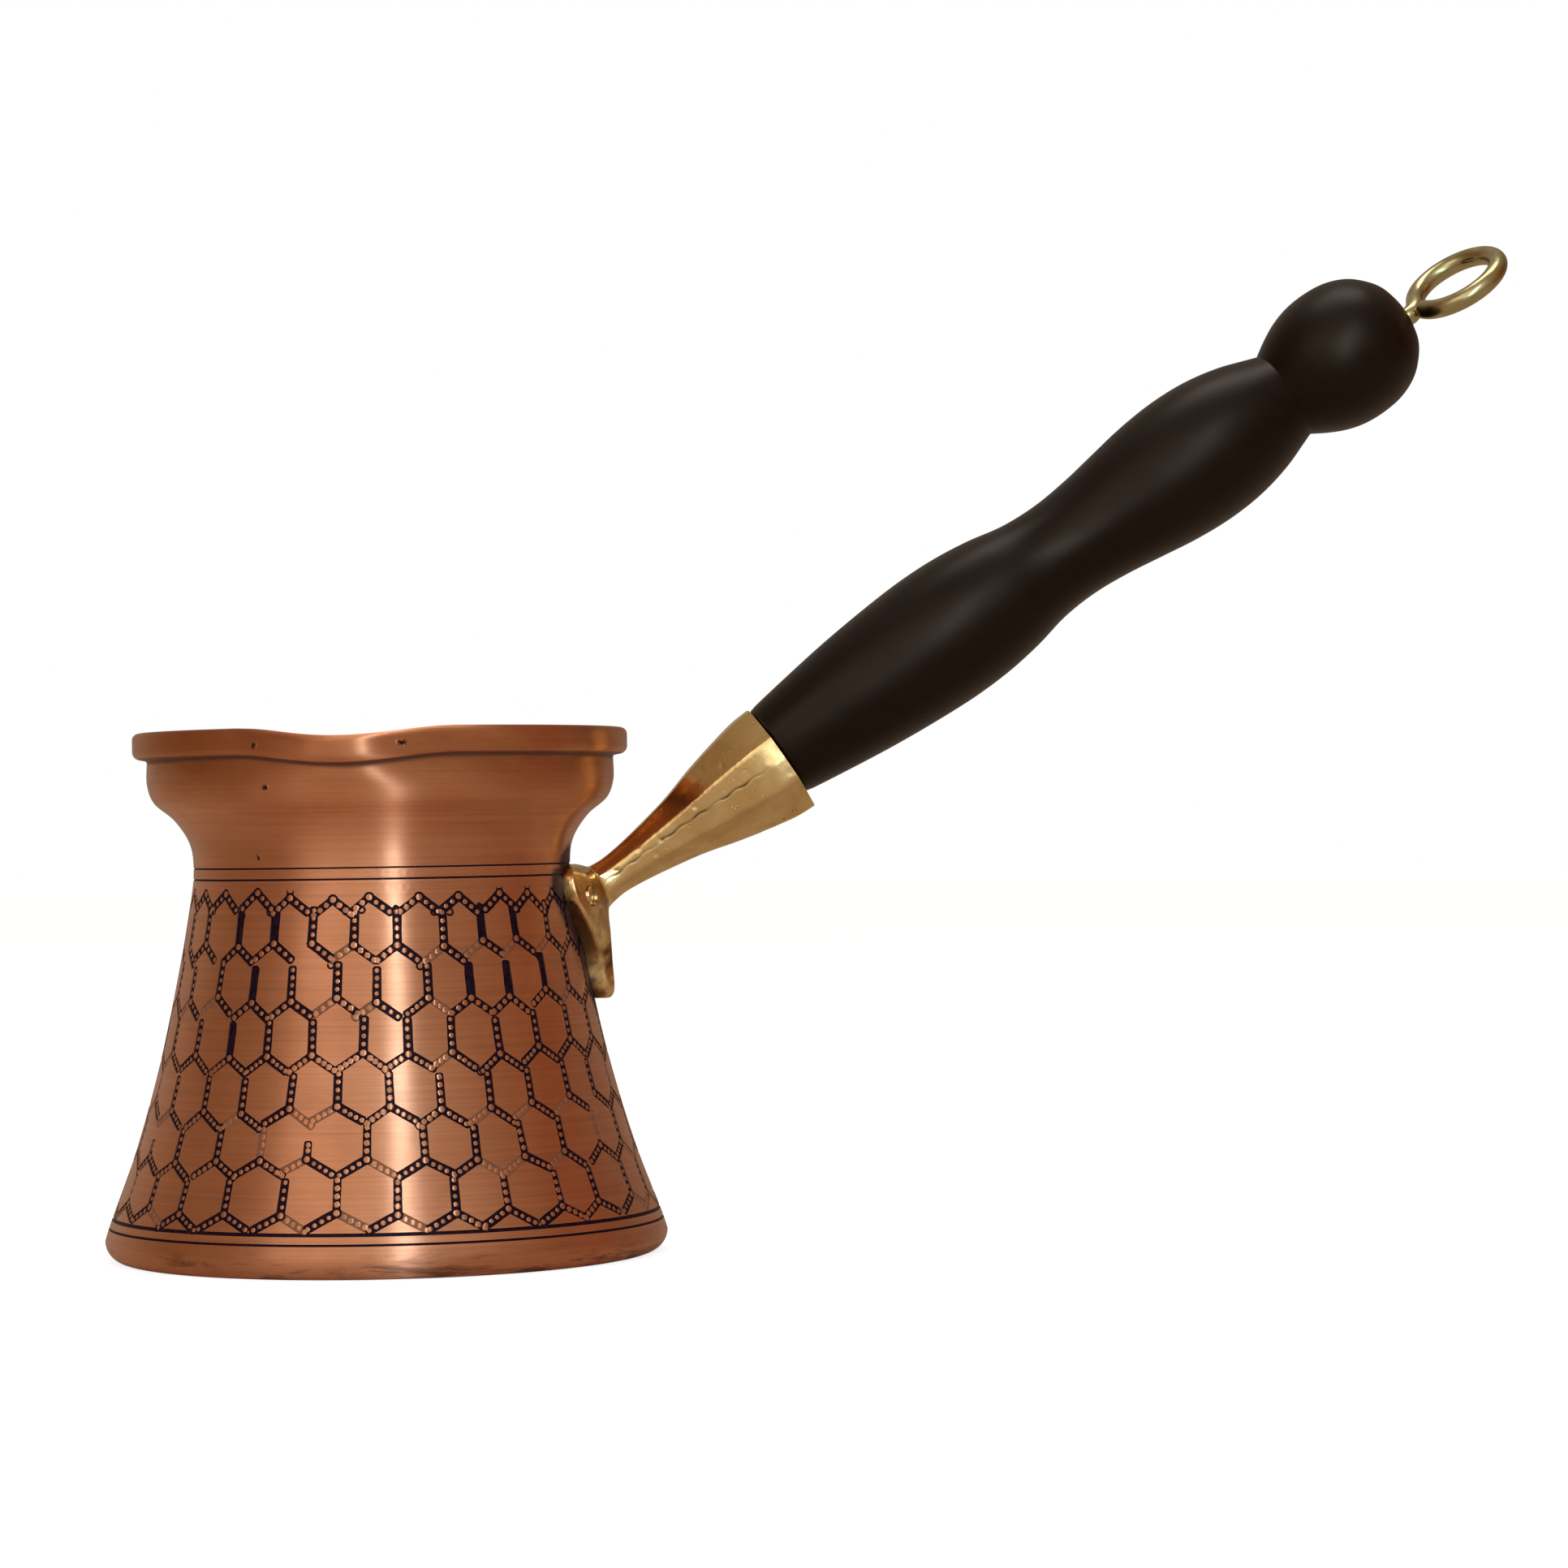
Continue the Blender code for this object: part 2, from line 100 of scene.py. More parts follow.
HORN_SIDES = 8                 # flat sides, each with a crowned middle
TENON_RADIUS = 5.0
TENON_LENGTH = 6.0
POCKET_DEPTH = TENON_LENGTH + GAP
THREAD_DEPTH = 14.0
OVERSHOOT = 3.0
SEAT_GAP = 0.05                # the plate sits tight on the wall to the eye
FACET_CROWN = 0.022            # how far the horn's facets stand out at their middles
PLATE_ALLOWANCE = 1.2          # metal behind the plate, cut away to the wall

CAST_VOXEL = 0.24
CAST_SOFTENING = 7             # smoothing passes over the remeshed casting
HORN_PITS = 46
PLATE_PITS = 26

# Rivets
RIVET_RADIUS = 1.5
RIVET_HOLE_RADIUS = RIVET_RADIUS + 0.08
RIVET_EDGE = 0.35
RIVET_HEAD_RADIUS = 2.8
RIVET_HEAD_HEIGHT = 1.2
HEAD_ROOM = 0.35
RIVETS = {
    "rivet_top_front": (math.radians(-13.5), 54.6, 3.05),
    "rivet_top_back": (math.radians(13.5), 54.6, 3.05),
    "rivet_bottom": (0.0, 41.4, 2.85),
}

# Grip
GRIP_ECCENTRIC = 1.1
GRIP_SWELLS = [
    (0.0, 7.6), (5.4, 8.4), (15.5, 9.7), (25.0, 10.5), (31.0, 10.75), (37.0, 10.55), (43.0, 9.8),
    (49.0, 8.6), (55.0, 8.28), (61.0, 8.76), (67.0, 9.66), (73.0, 10.55), (79.5, 10.98),
    (85.5, 10.63), (91.0, 9.5), (95.5, 7.95), (97.3, 7.3),
]
GRIP_KNOB = [
    (97.3, 7.3), (99.9, 8.85), (102.5, 10.1), (105.5, 10.95), (109.0, 11.2), (112.5, 10.8),
    (115.5, 9.6), (117.5, 8.0), (119.2, 5.9), (120.0, 3.8),
]
GRIP_LENGTH = 120.1
GRIP_CHAMFER = 0.5
BORE_RADIUS = 1.8

# Eye bolt
WIRE_RADIUS = 1.5
BOLT_ENGAGEMENT = 12.0
THREAD_PITCH = 0.5
THREAD_HEIGHT = 0.28
EYE_RADIUS = 7.15
EYE_CENTRE = 10.15
EYE_TWIST = math.radians(21.5)
EYE_START = math.radians(25.0)
EYE_END = math.radians(349.0)
BEND_LENGTH = 2.4
BEND_IN = 1.6
BEND_OUT = 1.3
WIRE_SIDES = 32

# Stamped honeycomb: struck with one inverted-Y punch, 29 blows to a row
BLOWS = 29
BAND_LOW = 4.6
BAND_HIGH = 60.4
UNROLL_RADIUS = 35.0           # the flat strip is the angle times this
SEAM = -math.pi
STRIP_WIDTH = 1.42
STEM_LENGTH = 5.5
LEG_DROP = 2.45
LEG_SPREAD = 0.1075            # radians
DOT_RADIUS = 0.36
DOT_PITCH = 1.18
DOT_FIRST = 1.3
JUNCTION_DOT = 0.48
DOT_CROWN = 0.07
STRIP_DEPTH = 0.22
FAINT_DEPTH = 0.07
SHALLOW = 0.7                  # depth of slips and spikes, as a share of a full groove
SEAM_OVERLAP = 12.0            # how far past the seam a shape is still drawn
SPIKE_HEIGHT = 55.4
FILL_ROWS = 34                 # rows of extra points that let the strip bend smoothly
# Engraved rings: height, width, depth
RINGS = [(59.65, 0.26, 0.12), (57.97, 0.30, 0.12), (6.66, 0.52, 0.16), (5.20, 0.36, 0.14)]
# Rows of blows: height of the row, then the blows struck unevenly on the lip's side as
# angle, height and how stem, left leg and right leg came out: dotted, solid, outlined,
# faint, half length or - for none. The rest of each row is struck evenly.
ROWS = [
    (55.7, [(-156, 55.9, "-dd"), (-143.6, 55.9, "-dd"), (-129.7, 56.1, "-dd"), (-118, 55.3, "-od"),
            (-104.6, 55.0, "-oo"), (-94, 55.3, "-od"), (-79.5, 55.2, "-od"), (-67.5, 55.2, "-dd"),
            (-53.5, 55.5, "-dd"), (-42.2, 55.4, "-dd"), (-29, 55.3, "-dd")]),
    (48.4, [(-163, 47.7, "d-d"), (-151, 48.4, "ddd"), (-135.1, 48.1, "sdd"), (-122.3, 48.6, "sod"),
            (-110.4, 48.6, "d-d"), (-98.3, 48.3, "dfo"), (-86.2, 48.2, "dod"), (-73, 47.9, "dfd"),
            (-61, 48.6, "sfd"), (-49.3, 48.7, "sfd"), (-35.2, 48.9, "dfd")]),
    (40.3, [(-154.9, 39.8, "dfd"), (-140.8, 40.7, "dfd"), (-127.7, 39.9, "sod"),
            (-115.4, 40.1, "dod"), (-102.6, 40.6, "dfo"), (-92, 39.9, "dfd"), (-78.3, 40.4, "ddf"),
            (-66.4, 40.2, "soo"), (-54.5, 40.2, "soo"), (-40.8, 41.0, "sod"), (-29.3, 41.0, "dfd"),
            (-15.5, 40.6, "fdf")]),
    (32.4, [(-160.5, 32.0, "dfd"), (-146.6, 32.0, "ddd"), (-132.9, 31.8, "sod"),
            (-121, 32.1, "ddd"), (-108.6, 32.3, "doo"), (-95.5, 32.6, "doo"), (-84.2, 32.3, "dod"),
            (-73, 32.4, "dfd"), (-59.9, 31.9, "ddd"), (-47.3, 32.7, "ddd"), (-34, 33.4, "ddd"),
            (-21.3, 33.3, "ddd")]),
    (24.6, [(-166, 24.9, "ffd"), (-152.7, 23.7, "dfd"), (-138.6, 23.9, "dod"),
            (-126.3, 23.8, "dfd"), (-113.3, 24.6, "ddf"), (-101.5, 24.9, "dfd"),
            (-89, 24.8, "ood"), (-76.9, 24.2, "ood"), (-64.5, 24.2, "dfd"), (-52.9, 24.6, "dfd"),
            (-39.8, 25.2, "dfd"), (-28.3, 25.1, "d-d"), (-15.5, 24.8, "fdd")]),
    (17.0, [(-158.4, 16.7, "hdd"), (-145, 16.3, "dod"), (-131.2, 16.9, "dod"),
            (-119.2, 17.1, "fdo"), (-107.9, 17.4, "hfd"), (-94.4, 17.3, "odf"),
            (-81.5, 17.0, "odd"), (-69.7, 16.8, "ddf"), (-57.7, 16.9, "ofd"),
            (-46.1, 17.2, "dfd"), (-32.3, 17.5, "fdd"), (-20.8, 17.4, "ddf")]),
    (9.5, [(-163, 9.6, "fdd"), (-150.3, 9.7, "ddf"), (-138.6, 9.1, "ddd"), (-125.9, 9.4, "ddd"),
           (-112.4, 9.4, "ddf"), (-100.5, 9.8, "odf"), (-87.9, 9.4, "odf"), (-75.8, 9.4, "ddo"),
           (-64.3, 9.6, "odd"), (-50.9, 9.4, "odo"), (-39.7, 9.6, "dod"), (-25.5, 9.8, "ddf"),
           (-14.5, 9.5, "dff")]),
]
# Places where the punch slipped: angle, height, side of the stem
CURLS = [
    (-98.3, 53.0, -1), (-98.3, 53.2, 1), (-73, 52.6, -1), (-73, 52.6, 1), (-49.3, 52.6, 1),
    (-122.3, 52.9, -1), (-110.4, 53.0, -1), (-151, 53.3, 1), (-78.3, 44.7, -1), (-64.5, 29.2, -1),
    (-102.6, 45.0, -1), (-35.2, 53.0, -1), (-35.2, 53.0, 1), (28.0, 53.0, 1), (75.0, 52.8, -1),
]
BLOBS = [
    (-86.2, 53.4, 0.95), (-61.0, 53.2, 1.15), (-35.2, 53.0, 1.3), (-49.3, 52.8, 1.0),
    (-151.0, 53.4, 1.1), (-135.1, 52.6, 0.95), (-122.3, 53.1, 1.0), (-110.8, 53.2, 0.9),
    (-42.0, 46.0, 0.8), (-119.6, 22.0, 0.75), (62.0, 53.2, 1.0), (120.0, 53.0, 1.1),
]
SPIKED_PEAKS = (-129.7, -118.0, -53.5, -42.2, -29.0)


def smooth_through(keys, parts):
    """A Catmull-Rom curve through the key points, each span cut into equal parts."""
    points = [np.array(key, dtype=float) for key in keys]
    points = [2 * points[0] - points[1]] + points + [2 * points[-1] - points[-2]]
    curve = []
    for i in range(1, len(points) - 2):
        before, start, end, after = points[i - 1:i + 3]
        knots = [0.0]
        for a, b in ((before, start), (start, end), (end, after)):
            knots.append(knots[-1] + math.sqrt(np.linalg.norm(b - a)))
        for k in range(parts):
            t = knots[1] + (knots[2] - knots[1]) * k / parts
            curve.append(centripetal(before, start, end, after, knots, t))
    curve.append(points[-2])
    return [tuple(point) for point in curve]


def centripetal(p0, p1, p2, p3, knots, t):
    t0, t1, t2, t3 = knots
    a1 = (t1 - t) / (t1 - t0) * p0 + (t - t0) / (t1 - t0) * p1
    a2 = (t2 - t) / (t2 - t1) * p1 + (t - t1) / (t2 - t1) * p2
    a3 = (t3 - t) / (t3 - t2) * p2 + (t - t2) / (t3 - t2) * p3
    b1 = (t2 - t) / (t2 - t0) * a1 + (t - t0) / (t2 - t0) * a2
    b2 = (t3 - t) / (t3 - t1) * a2 + (t - t1) / (t3 - t1) * a3
    return (t2 - t) / (t2 - t1) * b1 + (t - t1) / (t2 - t1) * b2


def around(centre, radius, angles):
    """Points at a radius from a centre, the angles in radians."""
    return [(centre[0] + radius * math.cos(a), centre[1] + radius * math.sin(a)) for a in angles]


def arc(centre, radius, start, end, parts):
    """Points on an arc, the angles in degrees."""
    return around(centre, radius, np.radians(np.linspace(start, end, parts + 1)))


def inset(profile, distance):
    """The profile moved towards the axis side, square to its own direction."""
    points = np.array(profile)
    along = np.gradient(points, axis=0)
    along /= np.linalg.norm(along, axis=1)[:, None]
    inward = np.stack([along[:, 1], -along[:, 0]], axis=1)
    return [tuple(point) for point in points + inward * distance]


def smoothstep(low, high, value):
    t = min(max((value - low) / (high - low), 0.0), 1.0)
    return t * t * (3.0 - 2.0 * t)


# ---------------------------------------------------------------- mesh helpers

def make_object(name, verts, faces):
    mesh = bpy.data.meshes.new(name)
    mesh.from_pydata(verts, [], faces)
    mesh.update()
    obj = bpy.data.objects.new(name, mesh)
    bpy.context.scene.collection.objects.link(obj)
    return obj


def spun(profile, steps, bulge=None, start=0.0):
    """Vertices and faces of a profile of radius and height, spun about Z, in metres."""
    verts, faces, rings = [], [], []
    for radius, height in profile:
        if radius < 1e-6:
            rings.append([len(verts)])
            verts.append((0.0, 0.0, height * MM))
            continue
        rings.append(list(range(len(verts), len(verts) + steps)))
        for k in range(steps):
            angle = start + math.tau * k / steps
            r, z = bulge(angle, radius, height) if bulge else (radius, height)
            verts.append((r * math.cos(angle) * MM, r * math.sin(angle) * MM, z * MM))
    for low, high in zip(rings, rings[1:]):
        for k in range(steps):
            j = (k + 1) % steps
            if len(low) == 1:
                faces.append((low[0], high[j], high[k]))
            elif len(high) == 1:
                faces.append((low[k], low[j], high[0]))
            else:
                faces.append((low[k], low[j], high[j], high[k]))
    return verts, faces


def outward(obj):
    """Weld the mesh and turn its faces outward."""
    bm = bmesh.new()
    bm.from_mesh(obj.data)
    bmesh.ops.remove_doubles(bm, verts=bm.verts, dist=WELD)
    bmesh.ops.recalc_face_normals(bm, faces=bm.faces)
    bm.to_mesh(obj.data)
    bm.free()
    return obj


def shade(obj, degrees):
    obj.data.shade_smooth()
    obj.data.set_sharp_from_angle(angle=math.radians(degrees))
    return obj


def applied(obj):
    """Turn the object's modifiers into its mesh."""
    graph = bpy.context.evaluated_depsgraph_get()
    mesh = bpy.data.meshes.new_from_object(obj.evaluated_get(graph))
    obj.modifiers.clear()
    obj.data = mesh
    return obj


def paint(mesh, name, domain, values):
    """A float attribute for the materials to read."""
    mesh.attributes.new(name, "FLOAT", domain).data.foreach_set("value", values)


def read(data, name, width=1, kind=np.float32):
    """A property of every element, in rows where it has several numbers."""
    values = np.zeros(len(data) * width, kind)
    data.foreach_get(name, values)
    return values.reshape(-1, width) if width > 1 else values


def boolean(obj, other, operation="DIFFERENCE"):
    """Apply an exact boolean and remove the other object."""
    modifier = obj.modifiers.new(operation.title(), "BOOLEAN")
    modifier.operation = operation
    modifier.solver = "EXACT"
    modifier.object = other
    applied(obj)
    bpy.data.objects.remove(other)
    return obj


def cylinder(radius, start, end, matrix, steps=48):
    verts, faces = spun([(0.0, start), (radius, start), (radius, end), (0.0, end)], steps)
    obj = outward(make_object("cutter", verts, faces))
    obj.data.transform(matrix)
    return obj


def skin(name, rings):
    """A closed skin over rings of equal count, in millimetres."""
    count = len(rings[0])
    verts = [tuple(c * MM for c in point) for ring in rings for point in ring]
    faces = []
    for k in range(len(rings) - 1):
        for i in range(count):
            j = (i + 1) % count
            base, top = k * count, (k + 1) * count
            faces.append((base + i, base + j, top + j, top + i))
    faces.append(tuple(range(count))[::-1])
    faces.append(tuple(range(len(verts) - count, len(verts))))
    return outward(make_object(name, verts, faces))


# ---------------------------------------------------------------- copper body

WALL_CURVE = np.array(smooth_through(WALL_KEYS + [(BASE_RADIUS, BASE_FILLET)], 24))[::-1]


def wall_radius(height):
    return float(np.interp(height, WALL_CURVE[:, 1], WALL_CURVE[:, 0]))


def wall_slope(height):
    step = 0.4
    return (wall_radius(height + step) - wall_radius(height - step)) / (2 * step)


def lip(angle, radius, height):
    """Radius and height after the pouring lip is drawn out of the collar and rim."""
    if height < LIP_BOTTOM or radius < 1.0:
        return radius, height
    across = (angle - LIP_ANGLE + math.pi) % math.tau - math.pi
    if abs(across) > LIP_HALF_WIDTH:
        return radius, height
    share = math.cos(across / LIP_HALF_WIDTH * math.pi / 2) ** 2
    out = LIP_PULL * share * smoothstep(LIP_BOTTOM, RIM_TOP, height)
    drop = LIP_DIP * share * smoothstep(LIP_DIP_BOTTOM, RIM_UNDERSIDE, height)
    return radius + out, height - drop


def inner_wall(distance):
    """Inside of the copper, moved in by a distance, from the rim to the floor's centre."""
    curve = [tuple(p) for p in WALL_CURVE[::-1] if p[1] >= WALL_KEYS[-1][1]][::3]
    inner = inset(curve, WALL)
    inner[0] = (COLLAR_RADIUS - WALL, RIM_UNDERSIDE)
    corner = inner[-1][0] - FLOOR_ROUND
    inner += arc((corner, FLOOR + FLOOR_ROUND), FLOOR_ROUND, 0, -90, 8)[1:]
    inner = [(COLLAR_RADIUS - WALL, LINING_TOP)] + inner + [(0.0, FLOOR)]
    if distance:
        inner = inset(inner, distance)
        inner[0] = (inner[0][0], LINING_TOP)
        inner[-1] = (0.0, FLOOR + distance)
    return inner


def body_shell():
    """The copper apart from the stamped band: base, then neck, rim and inside."""
    base = [(0.0, 0.0), (20.0, 0.0)]
    base += arc((BASE_RADIUS - BASE_FILLET, BASE_FILLET), BASE_FILLET, -90, 0, 12)
    base += [(wall_radius(z), z) for z in np.linspace(BASE_FILLET, BAND_LOW, 4)[1:]]
    corner = RIM_UNDERSIDE - RIM_CORNER
    neck = [(wall_radius(z), z) for z in np.linspace(BAND_HIGH, corner, 64)]
    neck += arc((COLLAR_RADIUS + RIM_CORNER, corner), RIM_CORNER, 180, 110, 4)[1:]
    neck += arc((RIM_RADIUS - RIM_ROUND_LOW, RIM_UNDERSIDE + 1.4), RIM_ROUND_LOW, -75, 0, 7)
    neck += arc((RIM_RADIUS - RIM_ROUND_TOP, RIM_TOP - RIM_ROUND_TOP), RIM_ROUND_TOP, 0, 90, 7)
    mouth = COLLAR_RADIUS - WALL
    neck += [(mouth + 1.4, RIM_TOP - 0.02)]
    neck += arc((mouth + MOUTH_ROUND, RIM_TOP - MOUTH_ROUND), MOUTH_ROUND, 90, 180, 4)
    neck += inner_wall(0.0)
    return [spun(profile, TURN_STEPS, lip, SEAM) for profile in (base, neck)]


class Strip:
    """The flat strip that the stamps are drawn on before it is wrapped round the pot."""

    def __init__(self):
        self.verts = []
        self.polys = []
        self.facts = []

    def add(self, outline, **facts):
        """Keep a shape, its outline turned to run anticlockwise."""
        area = sum(a[0] * b[1] - b[0] * a[1] for a, b in zip(outline, outline[1:] + outline[:1]))
        if area < 0.0:
            outline = outline[::-1]
        start = len(self.verts)
        self.verts.extend(Vector(point) for point in outline)
        self.polys.append(list(range(start, start + len(outline))))
        self.facts.append(facts)

    def mark(self, angle, height, shape, **facts):
        """A shape in millimetres about a place on the pot, also across the seam."""
        stretch = UNROLL_RADIUS / wall_radius(height)
        squash = 1.0 / math.hypot(1.0, wall_slope(height))
        centre = (angle - SEAM) % math.tau * UNROLL_RADIUS
        for turn in (-1, 0, 1):
            u = centre + turn * math.tau * UNROLL_RADIUS
            if -SEAM_OVERLAP < u < math.tau * UNROLL_RADIUS + SEAM_OVERLAP:
                place = dict(facts)
                if "spot" in facts:
                    sx, sy = facts["spot"]
                    place["spot"] = (u + sx * stretch, height + sy * squash)
                    place["aspect"] = (stretch, squash)
                self.add([(u + x * stretch, height + y * squash) for x, y in shape], **place)

    def groove(self, angle, height, shape, share=1.0):
        """A fully darkened groove, its depth a share of the punch's."""
        self.mark(angle, height, shape, kind="strip", depth=STRIP_DEPTH * share, dark=1.0)


def rounded_bar(length, width, rng, rough, start=0.0):
    """Outline of a strip along +X with a blunt end, its edge a little uneven."""
    half = width / 2
    corner = 0.22 * width
    outline = [(start, -half), (start + length * 0.34, -half), (start + length * 0.68, -half),
               (start + length - corner, -half), (start + length, -half + corner),
               (start + length, half - corner), (start + length - corner, half),
               (start + length * 0.68, half), (start + length * 0.34, half), (start, half)]
    return [(x + rng.uniform(-rough, rough), y + rng.uniform(-rough, rough)) for x, y in outline]


def turned(shape, angle, x=0.0, y=0.0):
    c, s = math.cos(angle), math.sin(angle)
    return [(x + px * c - py * s, y + px * s + py * c) for px, py in shape]


def dot(strip, angle, height, x, y, radius, square, turn, worn):
    """A raised dot: a ring on its edge and a smaller one near its crown."""
    sides = 8 if square else 10
    for share, count in ((1.0, sides), (0.62, 6)):
        ring = []
        for k in range(count):
            a = math.tau * (k + 0.5) / count
            r = radius * share
            if square and share == 1.0:
                r *= 1.13 if k % 2 else 0.98
            ring += around(ORIGIN, r, [a])
        strip.mark(angle, height, turned(ring, turn, x, y), kind="dot", radius=radius,
                   spot=(x, y), worn=worn)


def limb(strip, angle, height, direction, length, style, rng):
    """One strip of the punch, from the junction outward."""
    if style == "-":
        return
    if style == "h":
        length, style = length * 0.5, "o"
    rough = 0.03
    steep = 1.0 < direction < 2.0
    width = STRIP_WIDTH * rng.uniform(0.95, 1.05)
    depth, dark = STRIP_DEPTH, 1.0
    if style == "s":
        width *= 1.1
        rough = 0.07
    if style in "of":
        width *= 0.9
    if style == "f":
        depth, dark = FAINT_DEPTH, 0.62
    bar = turned(rounded_bar(length, width, rng, rough), direction)
    strip.mark(angle, height, bar, kind="strip", depth=depth, dark=dark)
    count = max(1, int((length - DOT_FIRST + 0.3) / DOT_PITCH) + 1)
    c, s = math.cos(direction), math.sin(direction)
    for k in range(count):
        if style == "s" and (steep or rng.random() < 0.4):
            continue
        along = DOT_FIRST + k * (length - DOT_FIRST - 0.62) / max(count - 1, 1)
        side = rng.uniform(-0.05, 0.05)
        radius = DOT_RADIUS * rng.uniform(0.9, 1.06) * (1.2 if style in "of" else 1.0)
        worn = 0.5 if style == "s" else max(0.0, rng.uniform(-0.6, 0.35))
        dot(strip, angle, height, along * c - side * s, along * s + side * c, radius,
            style in "of" or rng.random() < 0.25, direction, worn)


def blow(strip, angle, height, styles, rng):
    """One blow of the punch: stem up, a leg down each side, a dot at the junction."""
    radius = wall_radius(height)
    tilt = math.radians(rng.uniform(-2.2, 2.2))
    spread = radius * LEG_SPREAD * rng.uniform(0.97, 1.05)
    drop = LEG_DROP * rng.uniform(0.93, 1.07)
    leg = math.hypot(spread, drop) + 0.25
    stem, left, right = styles
    slant = math.atan2(drop, spread)
    limb(strip, angle, height, math.pi / 2 + tilt, STEM_LENGTH * rng.uniform(0.97, 1.03), stem, rng)
    limb(strip, angle, height, math.pi + slant + tilt, leg, left, rng)
    limb(strip, angle, height, -slant + tilt, leg, right, rng)
    hub = STRIP_WIDTH * 0.58
    ring = around(ORIGIN, hub, [k * math.tau / 10 for k in range(10)])
    strip.groove(angle, height, ring)
    dot(strip, angle, height, 0.0, 0.0, JUNCTION_DOT, False, tilt, 0.0)


def curl(strip, angle, height, side, rng):
    """A hooked scratch beside a stem's top."""
    middle = (side * rng.uniform(1.0, 1.3), rng.uniform(0.1, 0.5))
    radius, half = rng.uniform(0.42, 0.55), 0.16
    start = rng.uniform(0.4, 1.2) + (math.pi if side > 0 else 0.0)
    angles = [start + side * k * 0.55 for k in range(9)]
    outline = around(middle, radius + half, angles)
    outline += around(middle, radius - half, angles)[::-1]
    strip.groove(angle, height, outline, SHALLOW)


def blob(strip, angle, height, size, rng):
    """A filled, ragged bruise where two blows fell on one another."""
    ring = []
    for k in range(14):
        ring += around(ORIGIN, size * rng.uniform(0.62, 1.0), [math.tau * k / 14])
    strip.groove(angle, height, ring, 0.8)


def spikes(strip, angle, height):
    for side in (-1, 1):
        shape = [(side * 0.15, 0.4), (side * 0.62, 0.25), (side * 0.58, 1.25)]
        strip.groove(angle, height, shape, SHALLOW)


def struck_rows(rng):
    """Every blow as angle, height, styles: the listed ones, then the rest spaced evenly."""
    for height, listed in ROWS:
        for angle, z, styles in listed:
            yield math.radians(angle), z, styles
        first, last = listed[0][0], listed[-1][0]
        count = BLOWS - len(listed)
        gap = (360.0 - (last - first)) / (count + 1)
        for k in range(count):
            angle = last + gap * (k + 1) + rng.uniform(-0.5, 0.5)
            stem = rng.choices("dsof", (70, 10, 12, 8))[0] if height < 55 else "-"
            left = rng.choices("dof-", (42, 28, 26, 4))[0]
            right = rng.choices("dof", (78, 12, 10))[0]
            yield math.radians(angle), height + rng.uniform(-0.3, 0.3), stem + left + right


def draw_strip():
    """The whole pattern on the flat strip, with extra points so that it wraps smoothly."""
    rng = random.Random(7)
    strip = Strip()
    width = math.tau * UNROLL_RADIUS
    for angle, height, styles in struck_rows(rng):
        blow(strip, angle, height, styles, rng)
    for angle, height, side in CURLS:
        curl(strip, math.radians(angle), height, side, rng)
    for angle, height, size in BLOBS:
        blob(strip, math.radians(angle), height, size, rng)
    for angle in SPIKED_PEAKS:
        spikes(strip, math.radians(angle), SPIKE_HEIGHT)
    for height, band, depth in RINGS:
        across = [width * k / TURN_STEPS for k in range(-2, TURN_STEPS + 3)]
        outline = [(u, height - band / 2) for u in across]
        outline += [(u, height + band / 2) for u in across[::-1]]
        strip.add(outline, kind="strip", depth=depth, dark=1.0)
    edges = []
    for v in (BAND_LOW, BAND_HIGH):
        start = len(strip.verts)
        strip.verts.extend(Vector((width * k / TURN_STEPS, v)) for k in range(TURN_STEPS + 1))
        edges += [(start + k, start + k + 1) for k in range(TURN_STEPS)]
    low_left = len(strip.verts) - 2 * (TURN_STEPS + 1)
    edges.append((low_left, low_left + TURN_STEPS + 1))
    edges.append((low_left + TURN_STEPS, low_left + 2 * TURN_STEPS + 1))
    for j in range(1, FILL_ROWS):
        v = BAND_LOW + (BAND_HIGH - BAND_LOW) * j / FILL_ROWS
        for k in range(TURN_STEPS // 2):
            u = width * (2 * k + 0.5 + (j % 2)) / TURN_STEPS
            strip.verts.append(Vector((u, v)))
    return strip, edges, width


def wrap(u, v, lift):
    """A point of the strip on the pot, in metres, raised by lift millimetres."""
    angle = SEAM + u / UNROLL_RADIUS
    slope = wall_slope(v)
    size = math.hypot(1.0, slope)
    radius = wall_radius(v) + lift / size
    return (radius * math.cos(angle) * MM, radius * math.sin(angle) * MM,
            (v - lift * slope / size) * MM)


